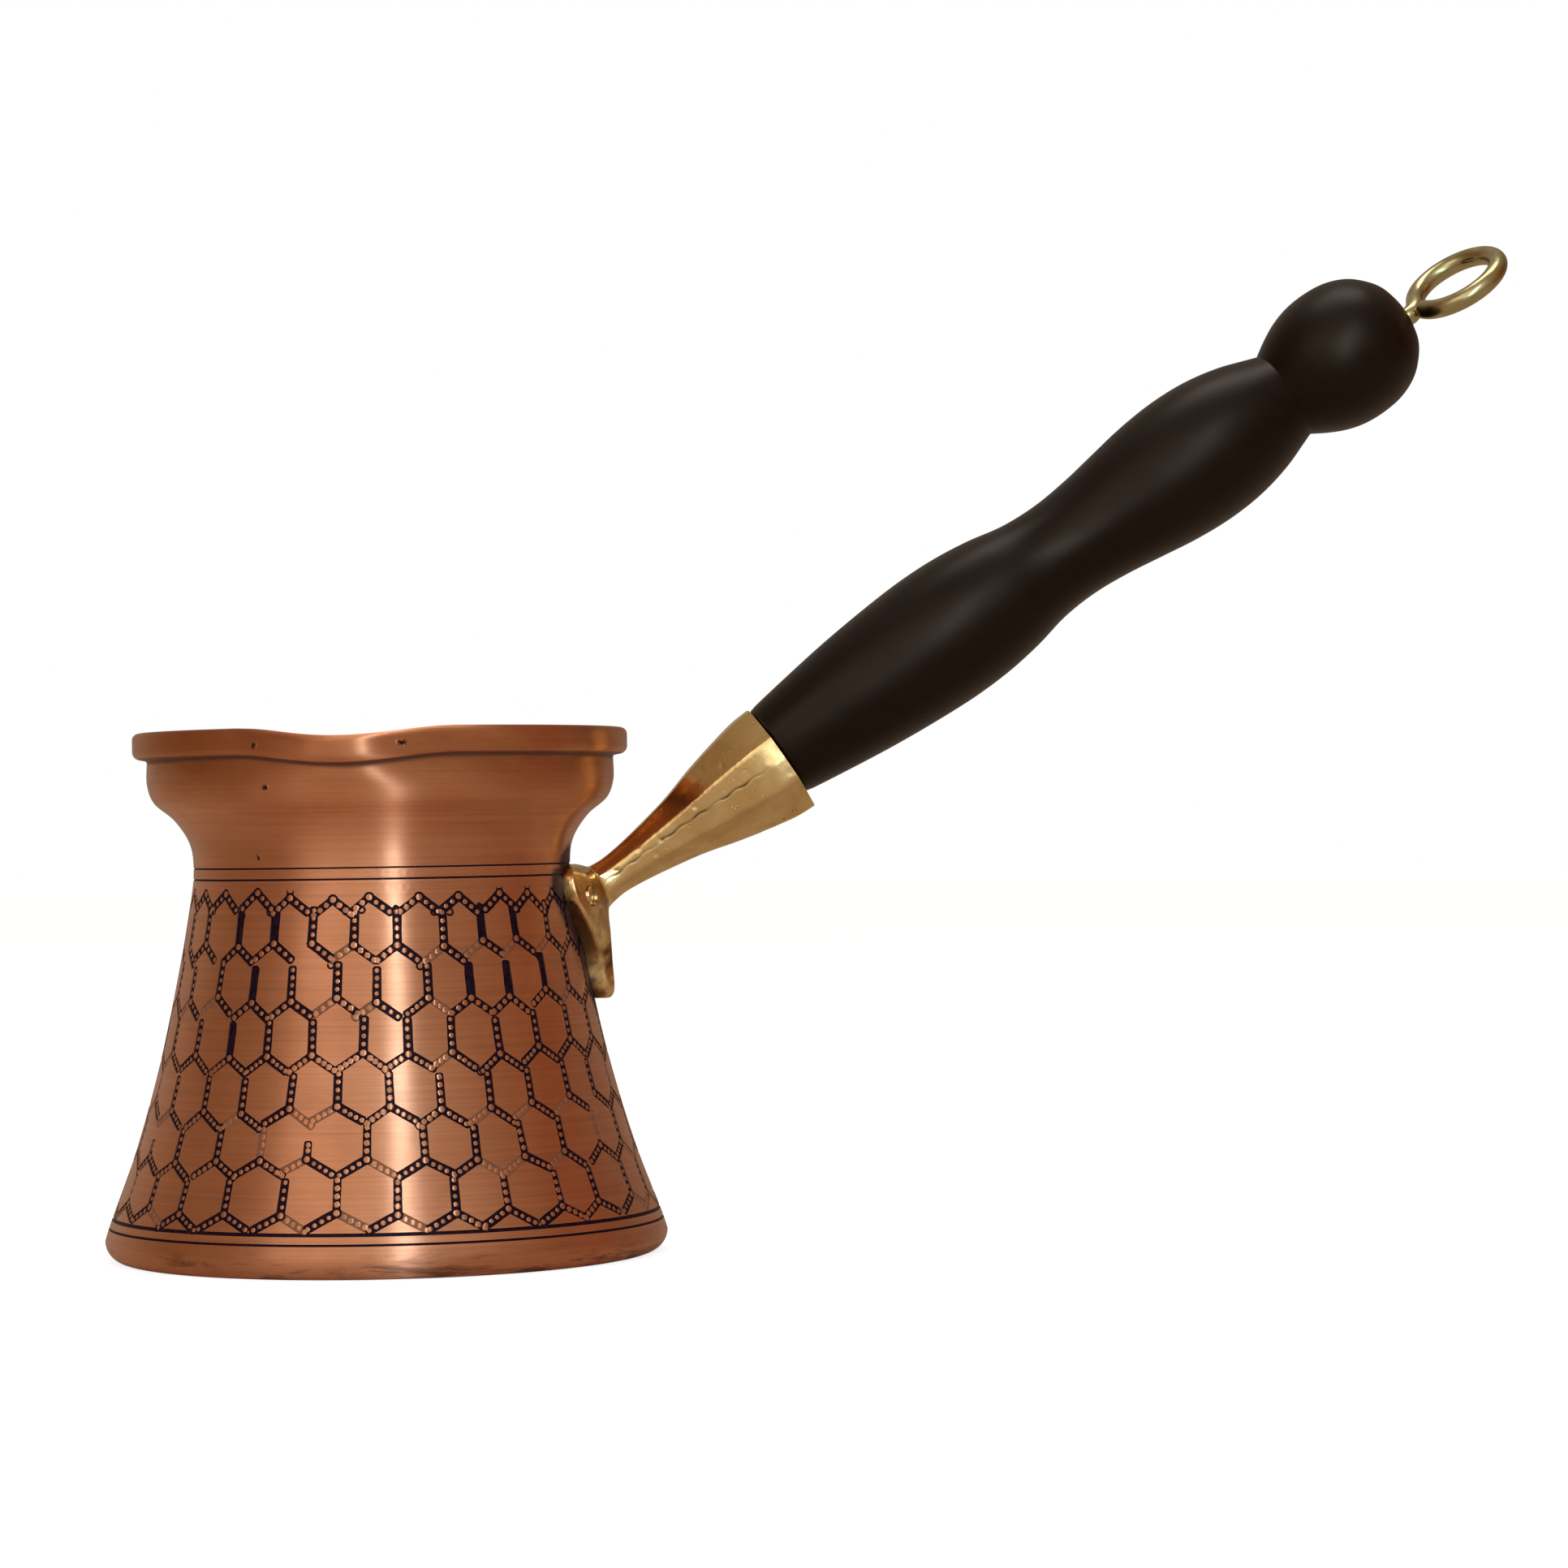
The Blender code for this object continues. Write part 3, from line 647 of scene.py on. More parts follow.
def stamped_band():
    """The stamped band as vertices, faces, a darkness for each face and which are walls."""
    strip, edges, width = draw_strip()
    flat, _, tris, _, _, origins = delaunay_2d_cdt(strip.verts, edges, strip.polys, 0, 1e-4)
    keys, darks, spots, kept = [], [], [], []
    for tri, origin in zip(tris, origins):
        u = sum(flat[i].x for i in tri) / 3
        v = sum(flat[i].y for i in tri) / 3
        if not (0.0 < u < width and BAND_LOW < v < BAND_HIGH):
            continue
        facts = [strip.facts[i] for i in origin]
        dots = [f for f in facts if f["kind"] == "dot"]
        grooves = [f for f in facts if f["kind"] == "strip"]
        if dots:
            key, dark, spot = "dot", dots[0]["worn"], dots[0]
        elif grooves:
            deepest = max(grooves, key=lambda f: f["depth"])
            key, dark, spot = round(deepest["depth"], 3), max(f["dark"] for f in grooves), None
        else:
            key, dark, spot = 0.0, 0.0, None
        kept.append(tri)
        keys.append(key)
        darks.append(dark)
        spots.append(spot)

    verts, index, levels = [], {}, {}

    def level(i, key, spot):
        """The mesh vertex for a strip point at a level, made when first asked for."""
        if (i, key) not in index:
            lift = -key if key != "dot" else 0.0
            if key == "dot":
                du = (flat[i].x - spot["spot"][0]) / spot["aspect"][0]
                dv = (flat[i].y - spot["spot"][1]) / spot["aspect"][1]
                lift = -0.01 - DOT_CROWN * min(math.hypot(du, dv) / spot["radius"], 1.15) ** 2
            index[i, key] = len(verts)
            levels.setdefault(i, []).append((lift, index[i, key]))
            verts.append(wrap(flat[i].x, flat[i].y, lift))
        return index[i, key]

    faces, shades, walls, sides = [], [], [], {}
    for tri, key, dark, spot in zip(kept, keys, darks, spots):
        faces.append(tuple(level(i, key, spot) for i in tri))
        shades.append(dark)
        walls.append(0)
        for a, b in ((tri[0], tri[1]), (tri[1], tri[2]), (tri[2], tri[0])):
            sides[a, b] = (key, len(faces) - 1)
    lift_of = {number: lift for pairs in levels.values() for lift, number in pairs}
    for (a, b), (key, face) in list(sides.items()):
        other = sides.get((b, a))
        if other is None or other[0] == key:
            continue
        a_here, b_here = index[a, key], index[b, key]
        a_there, b_there = index[a, other[0]], index[b, other[0]]
        if lift_of[a_here] + lift_of[b_here] <= lift_of[a_there] + lift_of[b_there]:
            continue
        ring = [b_here, a_here]
        between = [(lf, n) for lf, n in levels[a] if lift_of[a_there] < lf < lift_of[a_here]]
        ring += [n for lf, n in sorted(between, reverse=True)] + [a_there, b_there]
        between = [(lf, n) for lf, n in levels[b] if lift_of[b_there] < lf < lift_of[b_here]]
        ring += [n for lf, n in sorted(between)]
        faces.append(tuple(ring))
        shades.append(max(shades[other[1]] * 0.85, shades[face]))
        walls.append(1)
    return verts, faces, shades, walls


def plate_back(height):
    (top_radius, top), (low_radius, low) = PLATE_BACK_TOP, PLATE_BACK_LOW
    return top_radius + (low_radius - top_radius) * (top - height) / (top - low)


def patina_and_painted_shade(point):
    """How dark the copper is, from 0 to 1: dark patina with painted shade beside the bracket's
    plate, and painted shade in the corner under the rim.
    """
    x, y, z = (c / MM for c in point)
    if z > 74.0:
        return rim_shadow(x, y, z)
    if x < 0.0 or not 34.0 < z < 64.0:
        return 0.0
    heights = [row[0] for row in PLATE_STATIONS][::-1]
    widths = [row[1] for row in PLATE_STATIONS][::-1]
    edge = float(np.interp(z, heights, widths))
    beyond = abs(math.atan2(y, x)) * math.hypot(x, y) - edge
    past = max(z - heights[-1], heights[0] - z, 0.0)
    waver = 0.7 * noise.noise(Vector((x, y, z)) * 0.45)
    return 1.0 - smoothstep(3.4, 6.2, math.hypot(max(beyond, 0.0), 1.6 * past) + waver)


def rim_shadow(x, y, z):
    """Painted shade in the corner under the rim."""
    angle, radius = math.atan2(y, x), math.hypot(x, y)
    if radius < COLLAR_RADIUS - 0.6 * WALL:
        return 0.0
    out, level = lip(angle, COLLAR_RADIUS, RIM_UNDERSIDE)
    waver = 0.35 * noise.noise(Vector((x, y, 0.0)) * 0.16)
    down = abs(z - level)
    away = max(radius - out - 1.4, 0.0)
    return 0.85 * (1.0 - smoothstep(0.12, 0.85 + waver, down)) * (1.0 - smoothstep(0.0, 0.5, away))


def make_body():
    verts, faces, shades, walls = stamped_band()
    for more_verts, more_faces in body_shell():
        base = len(verts)
        verts = verts + more_verts
        faces += [tuple(i + base for i in face) for face in more_faces]
        shades += [0.0] * len(more_faces)
        walls += [0] * len(more_faces)
    body = make_object("copper_body", verts, faces)
    mesh = body.data
    paint(mesh, "stamp_dark", "FACE", shades)
    paint(mesh, "stamp_wall", "FACE", [float(w) for w in walls])
    bm = bmesh.new()
    bm.from_mesh(mesh)
    bmesh.ops.remove_doubles(bm, verts=bm.verts, dist=WELD)
    bmesh.ops.dissolve_degenerate(bm, dist=0.0000002, edges=bm.edges)
    bm.to_mesh(mesh)
    bm.free()
    # Dark patina with painted shade beside the plate, and painted shade under the rim
    paint(mesh, "patina_and_painted_shade", "POINT", [patina_and_painted_shade(v.co) for v in mesh.vertices])
    shade(body, 38.0)
    set_band_normals(mesh)
    return body


def set_band_normals(mesh):
    """True normals of the pot on the band, so that its uneven triangles don't show."""
    normals = read(mesh.corner_normals, "vector", 3)
    corners = read(mesh.loops, "vertex_index", kind=np.int32)
    places = read(mesh.vertices, "co", 3)[corners] / MM
    sizes = read(mesh.polygons, "loop_total", kind=np.int32)
    is_wall = np.repeat(read(mesh.attributes["stamp_wall"].data, "value") > 0.5, sizes)
    own = np.repeat(read(mesh.polygons, "normal", 3), sizes, axis=0)
    z = places[:, 2]
    radius = np.maximum(np.hypot(places[:, 0], places[:, 1]), 0.001)
    heights = np.linspace(BAND_LOW - 1.0, BAND_HIGH + 1.0, 500)
    slopes = np.array([wall_slope(h) for h in heights])
    slope = np.interp(z, heights, slopes)
    true = np.stack([places[:, 0] / radius, places[:, 1] / radius, -slope], axis=1)
    true /= np.linalg.norm(true, axis=1)[:, None]
    outer = np.interp(z, heights, [wall_radius(h) for h in heights])
    on_band = (z > BAND_LOW - 0.01) & (z < BAND_HIGH + 0.01) & (radius > outer - 0.6) & ~is_wall
    low_dot = on_band & ((true * own).sum(axis=1) < 0.9995)
    blend = np.where(low_dot, 0.85, 0.0)[:, None]
    set_to = true * (1.0 - blend) + own * blend
    set_to /= np.linalg.norm(set_to, axis=1)[:, None]
    normals[on_band] = set_to[on_band]
    normals[is_wall] = own[is_wall]
    mesh.normals_split_custom_set(normals.tolist())


def make_lining():
    outside = inner_wall(GAP)
    inside = inner_wall(GAP + LINING)
    verts, faces = spun(outside[::-1] + inside, TURN_STEPS, lip)
    return shade(outward(make_object("tin_skin", verts, faces)), 40.0)


# ---------------------------------------------------------------- bracket and rivets

def grip_frame():
    """Frame at the socket's mouth: Z runs out along the grip, -X is up, Y stays Y."""
    place = Matrix.Translation((MOUTH_X * MM, 0.0, MOUTH_Z * MM))
    return place @ Matrix.Rotation(math.pi / 2 - GRIP_RISE, 4, "Y")


def radial_frame(angle, height):
    """A frame on the pot's axis whose Z points out of the wall at the angle."""
    turn = Matrix.Rotation(angle, 4, "Z") @ Matrix.Rotation(math.pi / 2, 4, "Y")
    return Matrix.Translation((0.0, 0.0, height * MM)) @ turn


def plate_ring(height, half_width, edge, ridge):
    """One level section of the plate: an arc along the back, a roof with a flat ridge."""
    back = plate_back(height)
    flat = min(RIDGE_HALF_WIDTH, 0.6 * half_width)
    outline = [(-half_width, edge), (-(half_width + flat) / 2, (edge + ridge) / 2), (-flat, ridge),
               (flat, ridge), ((half_width + flat) / 2, (edge + ridge) / 2), (half_width, edge)]
    outline += [(half_width * share, -PLATE_ALLOWANCE) for share in (1.0, 0.5, 0.0, -0.5, -1.0)]
    ring = []
    for across, depth in outline:
        angle = across / back
        radius = back + depth
        ring.append((radius * math.cos(angle), radius * math.sin(angle), height))
    return ring


def horn_ring(distance, half_height, matrix):
    corner = half_height / math.cos(math.pi / HORN_SIDES)
    ring = []
    for i in range(2 * HORN_SIDES):
        reach = half_height * (1.0 + FACET_CROWN) if i % 2 else corner
        angle = (i + 1) * math.pi / HORN_SIDES
        local = Vector((reach * math.cos(angle), reach * math.sin(angle), distance)) * MM
        ring.append(tuple((matrix @ local) / MM))
    return ring


def seat_cutter():
    curve = [tuple(p) for p in WALL_CURVE[::-1] if p[1] >= WALL_KEYS[-1][1]][::6]
    profile = [(0.0, RIM_UNDERSIDE)] + inset(curve, -SEAT_GAP) + [(0.0, WALL_KEYS[-1][1])]
    verts, faces = spun(profile, 240)
    return outward(make_object("cutter", verts, faces))


def make_bracket():
    matrix = grip_frame()
    rows = smooth_through(PLATE_STATIONS, 4)
    bracket = skin("brass_bracket", [plate_ring(*row) for row in rows])
    keys = smooth_through(HORN_STATIONS + [(2.8, 9.0)], 6)
    boolean(bracket, skin("horn", [horn_ring(d, s, matrix) for d, s in keys]), "UNION")
    remesh = bracket.modifiers.new("Cast", "REMESH")
    remesh.mode = "VOXEL"
    remesh.voxel_size = CAST_VOXEL * MM
    soften = bracket.modifiers.new("Soften", "SMOOTH")
    soften.factor = 0.5
    soften.iterations = CAST_SOFTENING
    applied(bracket)
    hammer(bracket, matrix)
    boolean(bracket, cylinder(14.0, 0.0, 8.0, matrix, 32))
    boolean(bracket, seat_cutter())
    boolean(bracket, cylinder(TENON_RADIUS + GAP, -POCKET_DEPTH, OVERSHOOT, matrix, 64))
    thread_end = -POCKET_DEPTH - THREAD_DEPTH
    boolean(bracket, cylinder(BORE_RADIUS, thread_end, 0.0, matrix, 40))
    for angle, height, _ in RIVETS.values():
        hole = cylinder(RIVET_HOLE_RADIUS, 20.0, wall_radius(height) + 12.0,
                        radial_frame(angle, height), 40)
        boolean(bracket, hole)
    inverse = matrix.inverted()
    mesh = bracket.data
    paint(mesh, "seam", "POINT", [seam_line(inverse @ v.co) for v in mesh.vertices])
    paint(mesh, "crevice", "POINT", [hollow(inverse @ v.co, v.co) for v in mesh.vertices])
    return shade(bracket, 32.0)


def hammer(bracket, matrix):
    """Uneven hand filing all over, and a few casting pits on the stem and plate."""
    rng = random.Random(11)
    pits = []
    for _ in range(HORN_PITS):
        along = rng.uniform(-36.0, -8.0)
        turn = rng.uniform(0.0, math.tau)
        size = float(np.interp(along, *zip(*HORN_STATIONS)))
        place = Vector((size * math.cos(turn), size * math.sin(turn), along)) * MM
        pits.append((matrix @ place, rng.uniform(0.25, 0.5) * MM, rng.uniform(0.06, 0.16) * MM))
    for _ in range(PLATE_PITS):
        angle = rng.uniform(-0.3, 0.3)
        height = rng.uniform(40.0, 58.0)
        radius = plate_back(height) + rng.uniform(1.8, 4.6)
        place = Vector((radius * math.cos(angle), radius * math.sin(angle), height)) * MM
        pits.append((place, rng.uniform(0.3, 0.7) * MM, rng.uniform(0.08, 0.2) * MM))
    mesh = bracket.data
    places = read(mesh.vertices, "co", 3).astype(float)
    normals = np.array([vert.normal[:] for vert in mesh.vertices])
    lift = np.array([0.03 * noise.noise(Vector(p) * 190.0) + 0.010 * noise.noise(Vector(p) * 900.0)
                     for p in places]) * MM
    for centre, size, deep in pits:
        away = np.linalg.norm(places - np.array(centre), axis=1)
        lift -= deep * np.exp(-(away / size) ** 2)
    mesh.vertices.foreach_set("co", (places + normals * lift[:, None]).ravel())
    mesh.update()


def seam_line(local):
    """The parting line left on the front and back facets of the horn."""
    x, y, z = (c / MM for c in local)
    if not -34.5 < z < -2.0:
        return 0.0
    bend = 0.35 * math.sin((z + 34.0) / 32.0 * math.pi) + 0.12 * math.sin(z * 1.9)
    fade = smoothstep(-34.5, -31.0, z) * smoothstep(-2.0, -5.0, z)
    patch = 0.45 + 0.55 * smoothstep(-0.25, 0.25, noise.noise(Vector((z * 0.35, y, 3.0))))
    return math.exp(-((x + bend) / 0.2) ** 2) * fade * patch


def hollow(local, place):
    """Darker in the corner between horn and plate, and towards the plate's bottom."""
    x, y, z = (c / MM for c in local)
    corner = smoothstep(-31.0, -35.5, z)
    height = place.z / MM
    low = smoothstep(50.0, 40.0, height)
    return max(0.0, min(1.0, 0.6 * corner + 0.8 * low + 0.35 * noise.noise(place * 420.0)))


def make_rivets():
    for name, (angle, height, proud) in RIVETS.items():
        tip = plate_back(height) + proud
        inner = wall_radius(height) - WALL - GAP - LINING
        base = inner - GAP - HEAD_ROOM
        dome_radius = (RIVET_HEAD_RADIUS ** 2 + RIVET_HEAD_HEIGHT ** 2) / (2 * RIVET_HEAD_HEIGHT)
        centre = base - RIVET_HEAD_HEIGHT + dome_radius
        spread = math.degrees(math.asin(RIVET_HEAD_RADIUS / dome_radius))
        dome = arc((0.0, centre), dome_radius, -90, -90 + spread, 10)
        dome[0] = (0.0, dome[0][1])
        profile = dome + [(RIVET_HEAD_RADIUS - 0.05, base), (RIVET_RADIUS, base)]
        profile += [(RIVET_RADIUS, tip - RIVET_EDGE)]
        profile += arc((RIVET_RADIUS - RIVET_EDGE, tip - RIVET_EDGE), RIVET_EDGE, 0, 80, 4)
        profile += [(0.0, tip + 0.02)]
        verts, faces = spun(profile, 48)
        rivet = outward(make_object(name + "_pin", verts, faces))
        rivet.data.transform(radial_frame(angle, height))
        yield shade(rivet, 40.0), name


# ---------------------------------------------------------------- grip and eye bolt

def make_grip():
    swells = smooth_through(GRIP_SWELLS, 8)
    knob = smooth_through(GRIP_KNOB, 8)
    first = GRIP_SWELLS[0][1]
    profile = [(0.0, 0.0), (first - GRIP_CHAMFER, 0.0)]
    profile += arc((first - GRIP_CHAMFER, GRIP_CHAMFER), GRIP_CHAMFER, -75, 0, 5)
    profile += [(radius, along) for along, radius in swells[2:] + knob[1:]]
    profile += [(0.0, GRIP_LENGTH)]
    verts, faces = spun(profile, 160)
    grip = outward(make_object("wood_grip", verts, faces))
    grip.data.transform(Matrix.Translation((-GRIP_ECCENTRIC * MM, 0.0, GAP * MM)))
    level = Matrix.Identity(4)
    boolean(grip, cylinder(TENON_RADIUS, -TENON_LENGTH, OVERSHOOT, level, 64), "UNION")
    bore = cylinder(BORE_RADIUS, -TENON_LENGTH - OVERSHOOT, GRIP_LENGTH + OVERSHOOT, level, 40)
    boolean(grip, bore)
    grip.data.transform(grip_frame())
    return shade(grip, 40.0)


def eye_path():
    """Centre line of the bolt in the grip's frame: shank, bend, then the open eye."""
    eye_at = GRIP_LENGTH + GAP + EYE_CENTRE
    start = -POCKET_DEPTH - BOLT_ENGAGEMENT
    thread = np.arange(start, -POCKET_DEPTH, THREAD_PITCH / 8)
    shank = np.linspace(-POCKET_DEPTH, GRIP_LENGTH, 40)
    flat = [(along, 0.0) for along in list(thread) + list(shank)]
    bend_from = np.array((eye_at - EYE_RADIUS - BEND_LENGTH, 0.0))
    ring_start = np.array((-math.cos(EYE_START), math.sin(EYE_START))) * EYE_RADIUS
    bend_to = np.array((eye_at, 0.0)) + ring_start
    lead_in = bend_from + np.array((BEND_IN, 0.0))
    lead_out = bend_to - BEND_OUT * np.array((math.sin(EYE_START), math.cos(EYE_START)))
    for t in np.linspace(0.0, 1.0, 15)[:-1]:
        point = ((1 - t) ** 3 * bend_from + 3 * (1 - t) ** 2 * t * lead_in
                 + 3 * (1 - t) * t ** 2 * lead_out + t ** 3 * bend_to)
        flat.append(tuple(point))
    for angle in np.linspace(EYE_START, EYE_END, 110):
        along = eye_at - EYE_RADIUS * math.cos(angle)
        flat.append((along, EYE_RADIUS * math.sin(angle)))
    up, side = math.sin(EYE_TWIST), math.cos(EYE_TWIST)
    return [(-across * up, across * side, along) for along, across in flat]


def make_bolt():
    """The wire swept along its path, with a cut thread on the hidden end."""
    path = [Vector(point) for point in eye_path()]
    off_plane = Vector((math.cos(EYE_TWIST), math.sin(EYE_TWIST), 0.0))
    rings = []
    for i, place in enumerate(path):
        ahead = (path[min(i + 1, len(path) - 1)] - path[max(i - 1, 0)]).normalized()
        across = off_plane.cross(ahead).normalized()
        into_thread = place.z < -POCKET_DEPTH
        ring = []
        for k in range(WIRE_SIDES):
            a = math.tau * k / WIRE_SIDES
            radius = WIRE_RADIUS
            if into_thread:
                phase = (place.z / THREAD_PITCH - a / math.tau) % 1.0
                radius -= THREAD_HEIGHT * (1.0 - abs(2.0 * phase - 1.0))
            ring.append(place + radius * (math.cos(a) * across + math.sin(a) * off_plane))
        rings.append(ring)
    for end, step in ((0, 1), (-1, -1)):
        heading = (path[end] - path[end + step]).normalized()
        rim = [path[end] + (point - path[end]) * 0.86 + heading * 0.12 for point in rings[end]]
        if end == 0:
            rings.insert(0, rim)
        else:
            rings.append(rim)
    bolt = skin("wire_eye_bolt", rings)
    bolt.data.transform(grip_frame())
    return shade(bolt, 35.0)


# ---------------------------------------------------------------- materials

class Nodes:
    """Adds and links the nodes of one tree."""

    def __init__(self, tree):
        self.tree = tree

    def fill(self, socket, value):
        """Link a socket to another node's output, or set its own value."""
        if isinstance(value, bpy.types.NodeSocket):
            self.tree.links.new(value, socket)
        else:
            socket.default_value = value

    def node(self, kind, inputs=None, **settings):
        node = self.tree.nodes.new(kind)
        for key, value in settings.items():
            setattr(node, key, value)
        for key, value in (inputs or {}).items():
            self.fill(node.inputs[key], value)
        return node

    def noise(self, scale=1.0, detail=3.0, roughness=0.5, distortion=0.0,
              stretch=(1.0, 1.0, 1.0), turn=(0.0, 0.0, 0.0)):
        """Noise over the object, finer along an axis the more it is stretched."""
        coords = self.node("ShaderNodeTexCoord")
        place = self.node("ShaderNodeMapping", {
            "Vector": coords.outputs["Object"], "Scale": stretch, "Rotation": turn}).outputs[0]
        return self.node("ShaderNodeTexNoise", {
            "Vector": place, "Scale": scale, "Detail": detail, "Roughness": roughness,
            "Distortion": distortion}).outputs["Fac"]

    def ramp(self, value, low, high, to_low=0.0, to_high=1.0):
        return self.node("ShaderNodeMapRange", {
            "Value": value, "From Min": low, "From Max": high, "To Min": to_low,
            "To Max": to_high}).outputs[0]

    def mix(self, share, first, second, blend="MIX"):
        node = self.node("ShaderNodeMix", data_type="RGBA", blend_type=blend)
        self.fill(node.inputs[0], share)
        for socket, colour in ((node.inputs[6], first), (node.inputs[7], second)):
            self.fill(socket, (*colour, 1.0) if isinstance(colour, tuple) else colour)
        return node.outputs[2]

    def math(self, operation, *values):
        return self.node("ShaderNodeMath", dict(enumerate(values)), operation=operation).outputs[0]

    def vector(self, operation, *values, output="Vector"):
        node = self.node("ShaderNodeVectorMath", dict(enumerate(values)), operation=operation)
        return node.outputs[output]

    def nicks(self, marks, reach):
        """A mask of small ragged spots about some points, longer sideways than tall."""
        coords = self.node("ShaderNodeTexCoord").outputs["Object"]
        ragged = self.node("ShaderNodeTexNoise", {"Vector": coords, "Scale": 1600.0, "Detail": 3.0})
        shift = self.vector("SUBTRACT", ragged.outputs["Color"], (0.5, 0.5, 0.5))
        shift = self.vector("MULTIPLY", shift, (2.2 * reach,) * 3)
        place = self.vector("ADD", coords, shift)
        total = 0.0
        for centre, half in marks:
            offset = self.vector("SUBTRACT", place, tuple(c * MM for c in centre))
            flat = self.vector("MULTIPLY", offset, (1.0, 0.35, 2.0 * half))
            away = self.vector("LENGTH", flat, output="Value")
            total = self.math("MAXIMUM", total, self.ramp(away, half * MM, 0.45 * half * MM))
        return total

    def attribute(self, name):
        return self.node("ShaderNodeAttribute", attribute_name=name).outputs["Fac"]

    def bump(self, height, strength, distance, under=None):
        inputs = {"Height": height, "Strength": strength, "Distance": distance}
        if under is not None:
            inputs["Normal"] = under
        return self.node("ShaderNodeBump", inputs).outputs[0]


class Shader(Nodes):
    """The nodes of one new material with a Principled shader."""

    def __init__(self, name):
        self.material = bpy.data.materials.new(name)
        self.material.use_nodes = True
        super().__init__(self.material.node_tree)
        self.bsdf = self.tree.nodes["Principled BSDF"]

    def set(self, **sockets):
        for key, value in sockets.items():
            self.fill(self.bsdf.inputs[key.replace("_", " ")], value)


# Dents and nicks in the rim and neck: centre and half length along the brushing
MARKS = [
    ((3.0, -39.1, 77.9), 0.9), ((-18.5, -33.9, 77.8), 0.6), ((-17.0, -31.5, 71.6), 0.55),
    ((-18.3, -22.6, 61.4), 0.45), ((24.0, 29.0, 77.6), 0.6), ((-30.0, 14.0, 66.0), 0.5),
]


def copper_material():
    s = Shader("brushed_copper")
    fine = s.noise(1.0, 4.0, 0.65, stretch=(60.0, 60.0, 14000.0))
    coarse = s.noise(1.0, 3.0, 0.6, stretch=(25.0, 25.0, 2600.0))
    cloud = s.noise(55.0, 4.0, 0.55, 0.4)
    blotch = s.noise(24.0, 5.0, 0.6, 1.2, stretch=(1.0, 1.0, 2.2))
    height = s.node("ShaderNodeSeparateXYZ", {
        "Vector": s.node("ShaderNodeTexCoord").outputs["Object"]}).outputs[2]
    copper = s.mix(s.ramp(cloud, 0.35, 0.7), (0.76, 0.345, 0.19), (0.82, 0.40, 0.235))
    lines = s.ramp(coarse, 0.3, 0.7, 0.88, 1.06)
    copper = s.mix(1.0, copper, s.node("ShaderNodeCombineColor", {
        0: lines, 1: lines, 2: lines}).outputs[0], "MULTIPLY")
    tarnish = s.math("MULTIPLY", s.ramp(height, 0.060, 0.078, 0.0, 1.0),
                     s.ramp(blotch, 0.38, 0.62, 0.25, 1.0))
    copper = s.mix(s.math("MULTIPLY", tarnish, 0.8), copper, (0.56, 0.20, 0.075))
    smear = s.noise(70.0, 6.0, 0.7, 0.5, stretch=(1.0, 1.0, 7.0))
    foot = s.math("MULTIPLY", s.ramp(height, 0.0048, 0.0015), s.ramp(smear, 0.5, 0.62))
    copper = s.mix(s.math("MULTIPLY", foot, 0.7), copper, (0.16, 0.055, 0.03))
    stained = s.mix(s.ramp(blotch, 0.62, 0.74, 0.0, 0.35), copper, (0.45, 0.17, 0.08))
    nicked = s.nicks(MARKS, 0.0005)
    stained = s.mix(nicked, stained, (0.07, 0.028, 0.016))
    # Dark patina with painted shade beside the plate, and painted shade under the rim: darker, less
    # metallic copper
    patina_shade_mask = s.math("POWER", s.attribute("patina_and_painted_shade"), 1.3)
    stained = s.mix(patina_shade_mask, stained, (0.05, 0.018, 0.022))
    dark = s.attribute("stamp_dark")
    spots = s.noise(1500.0, 2.0, 0.6)
    fill = s.mix(s.ramp(spots, 0.35, 0.7), (0.006, 0.0018, 0.007), (0.022, 0.007, 0.018))
    s.set(Base_Color=s.mix(dark, stained, fill))
    solid = s.math("MAXIMUM", dark, patina_shade_mask)
    s.set(Metallic=s.ramp(solid, 0.0, 1.0, 1.0, 0.0), Specular_IOR_Level=0.16)
    shine = s.math("ADD", s.ramp(fine, 0.25, 0.75, 0.36, 0.46), s.ramp(blotch, 0.4, 0.7, 0.0, 0.05))
    s.set(Roughness=s.math("ADD", shine, s.math("MULTIPLY", solid, 0.25)))
    ridges = s.bump(fine, 0.22, 0.00002)
    ridges = s.bump(coarse, 0.10, 0.00006, ridges)
    ridges = s.bump(cloud, 0.12, 0.0004, ridges)
    s.set(Normal=s.bump(nicked, 0.7, 0.0003, ridges))
    s.set(Anisotropic=1.0, Anisotropic_Rotation=0.25)
    s.set(Tangent=s.node("ShaderNodeTangent", direction_type="RADIAL", axis="Z").outputs[0])
    return s.material


def tin_material():
    s = Shader("wiped_tin")
    wipe = s.noise(1.0, 4.0, 0.6, stretch=(90.0, 90.0, 900.0))
    cloud = s.noise(70.0, 5.0, 0.6, 0.8)
    base = s.mix(s.ramp(cloud, 0.3, 0.72), (0.50, 0.49, 0.46), (0.74, 0.73, 0.70))
    s.set(Base_Color=base, Metallic=1.0, Roughness=s.ramp(cloud, 0.3, 0.7, 0.30, 0.46))
    s.set(Normal=s.bump(wipe, 0.25, 0.00006, s.bump(cloud, 0.2, 0.0004)))
    return s.material


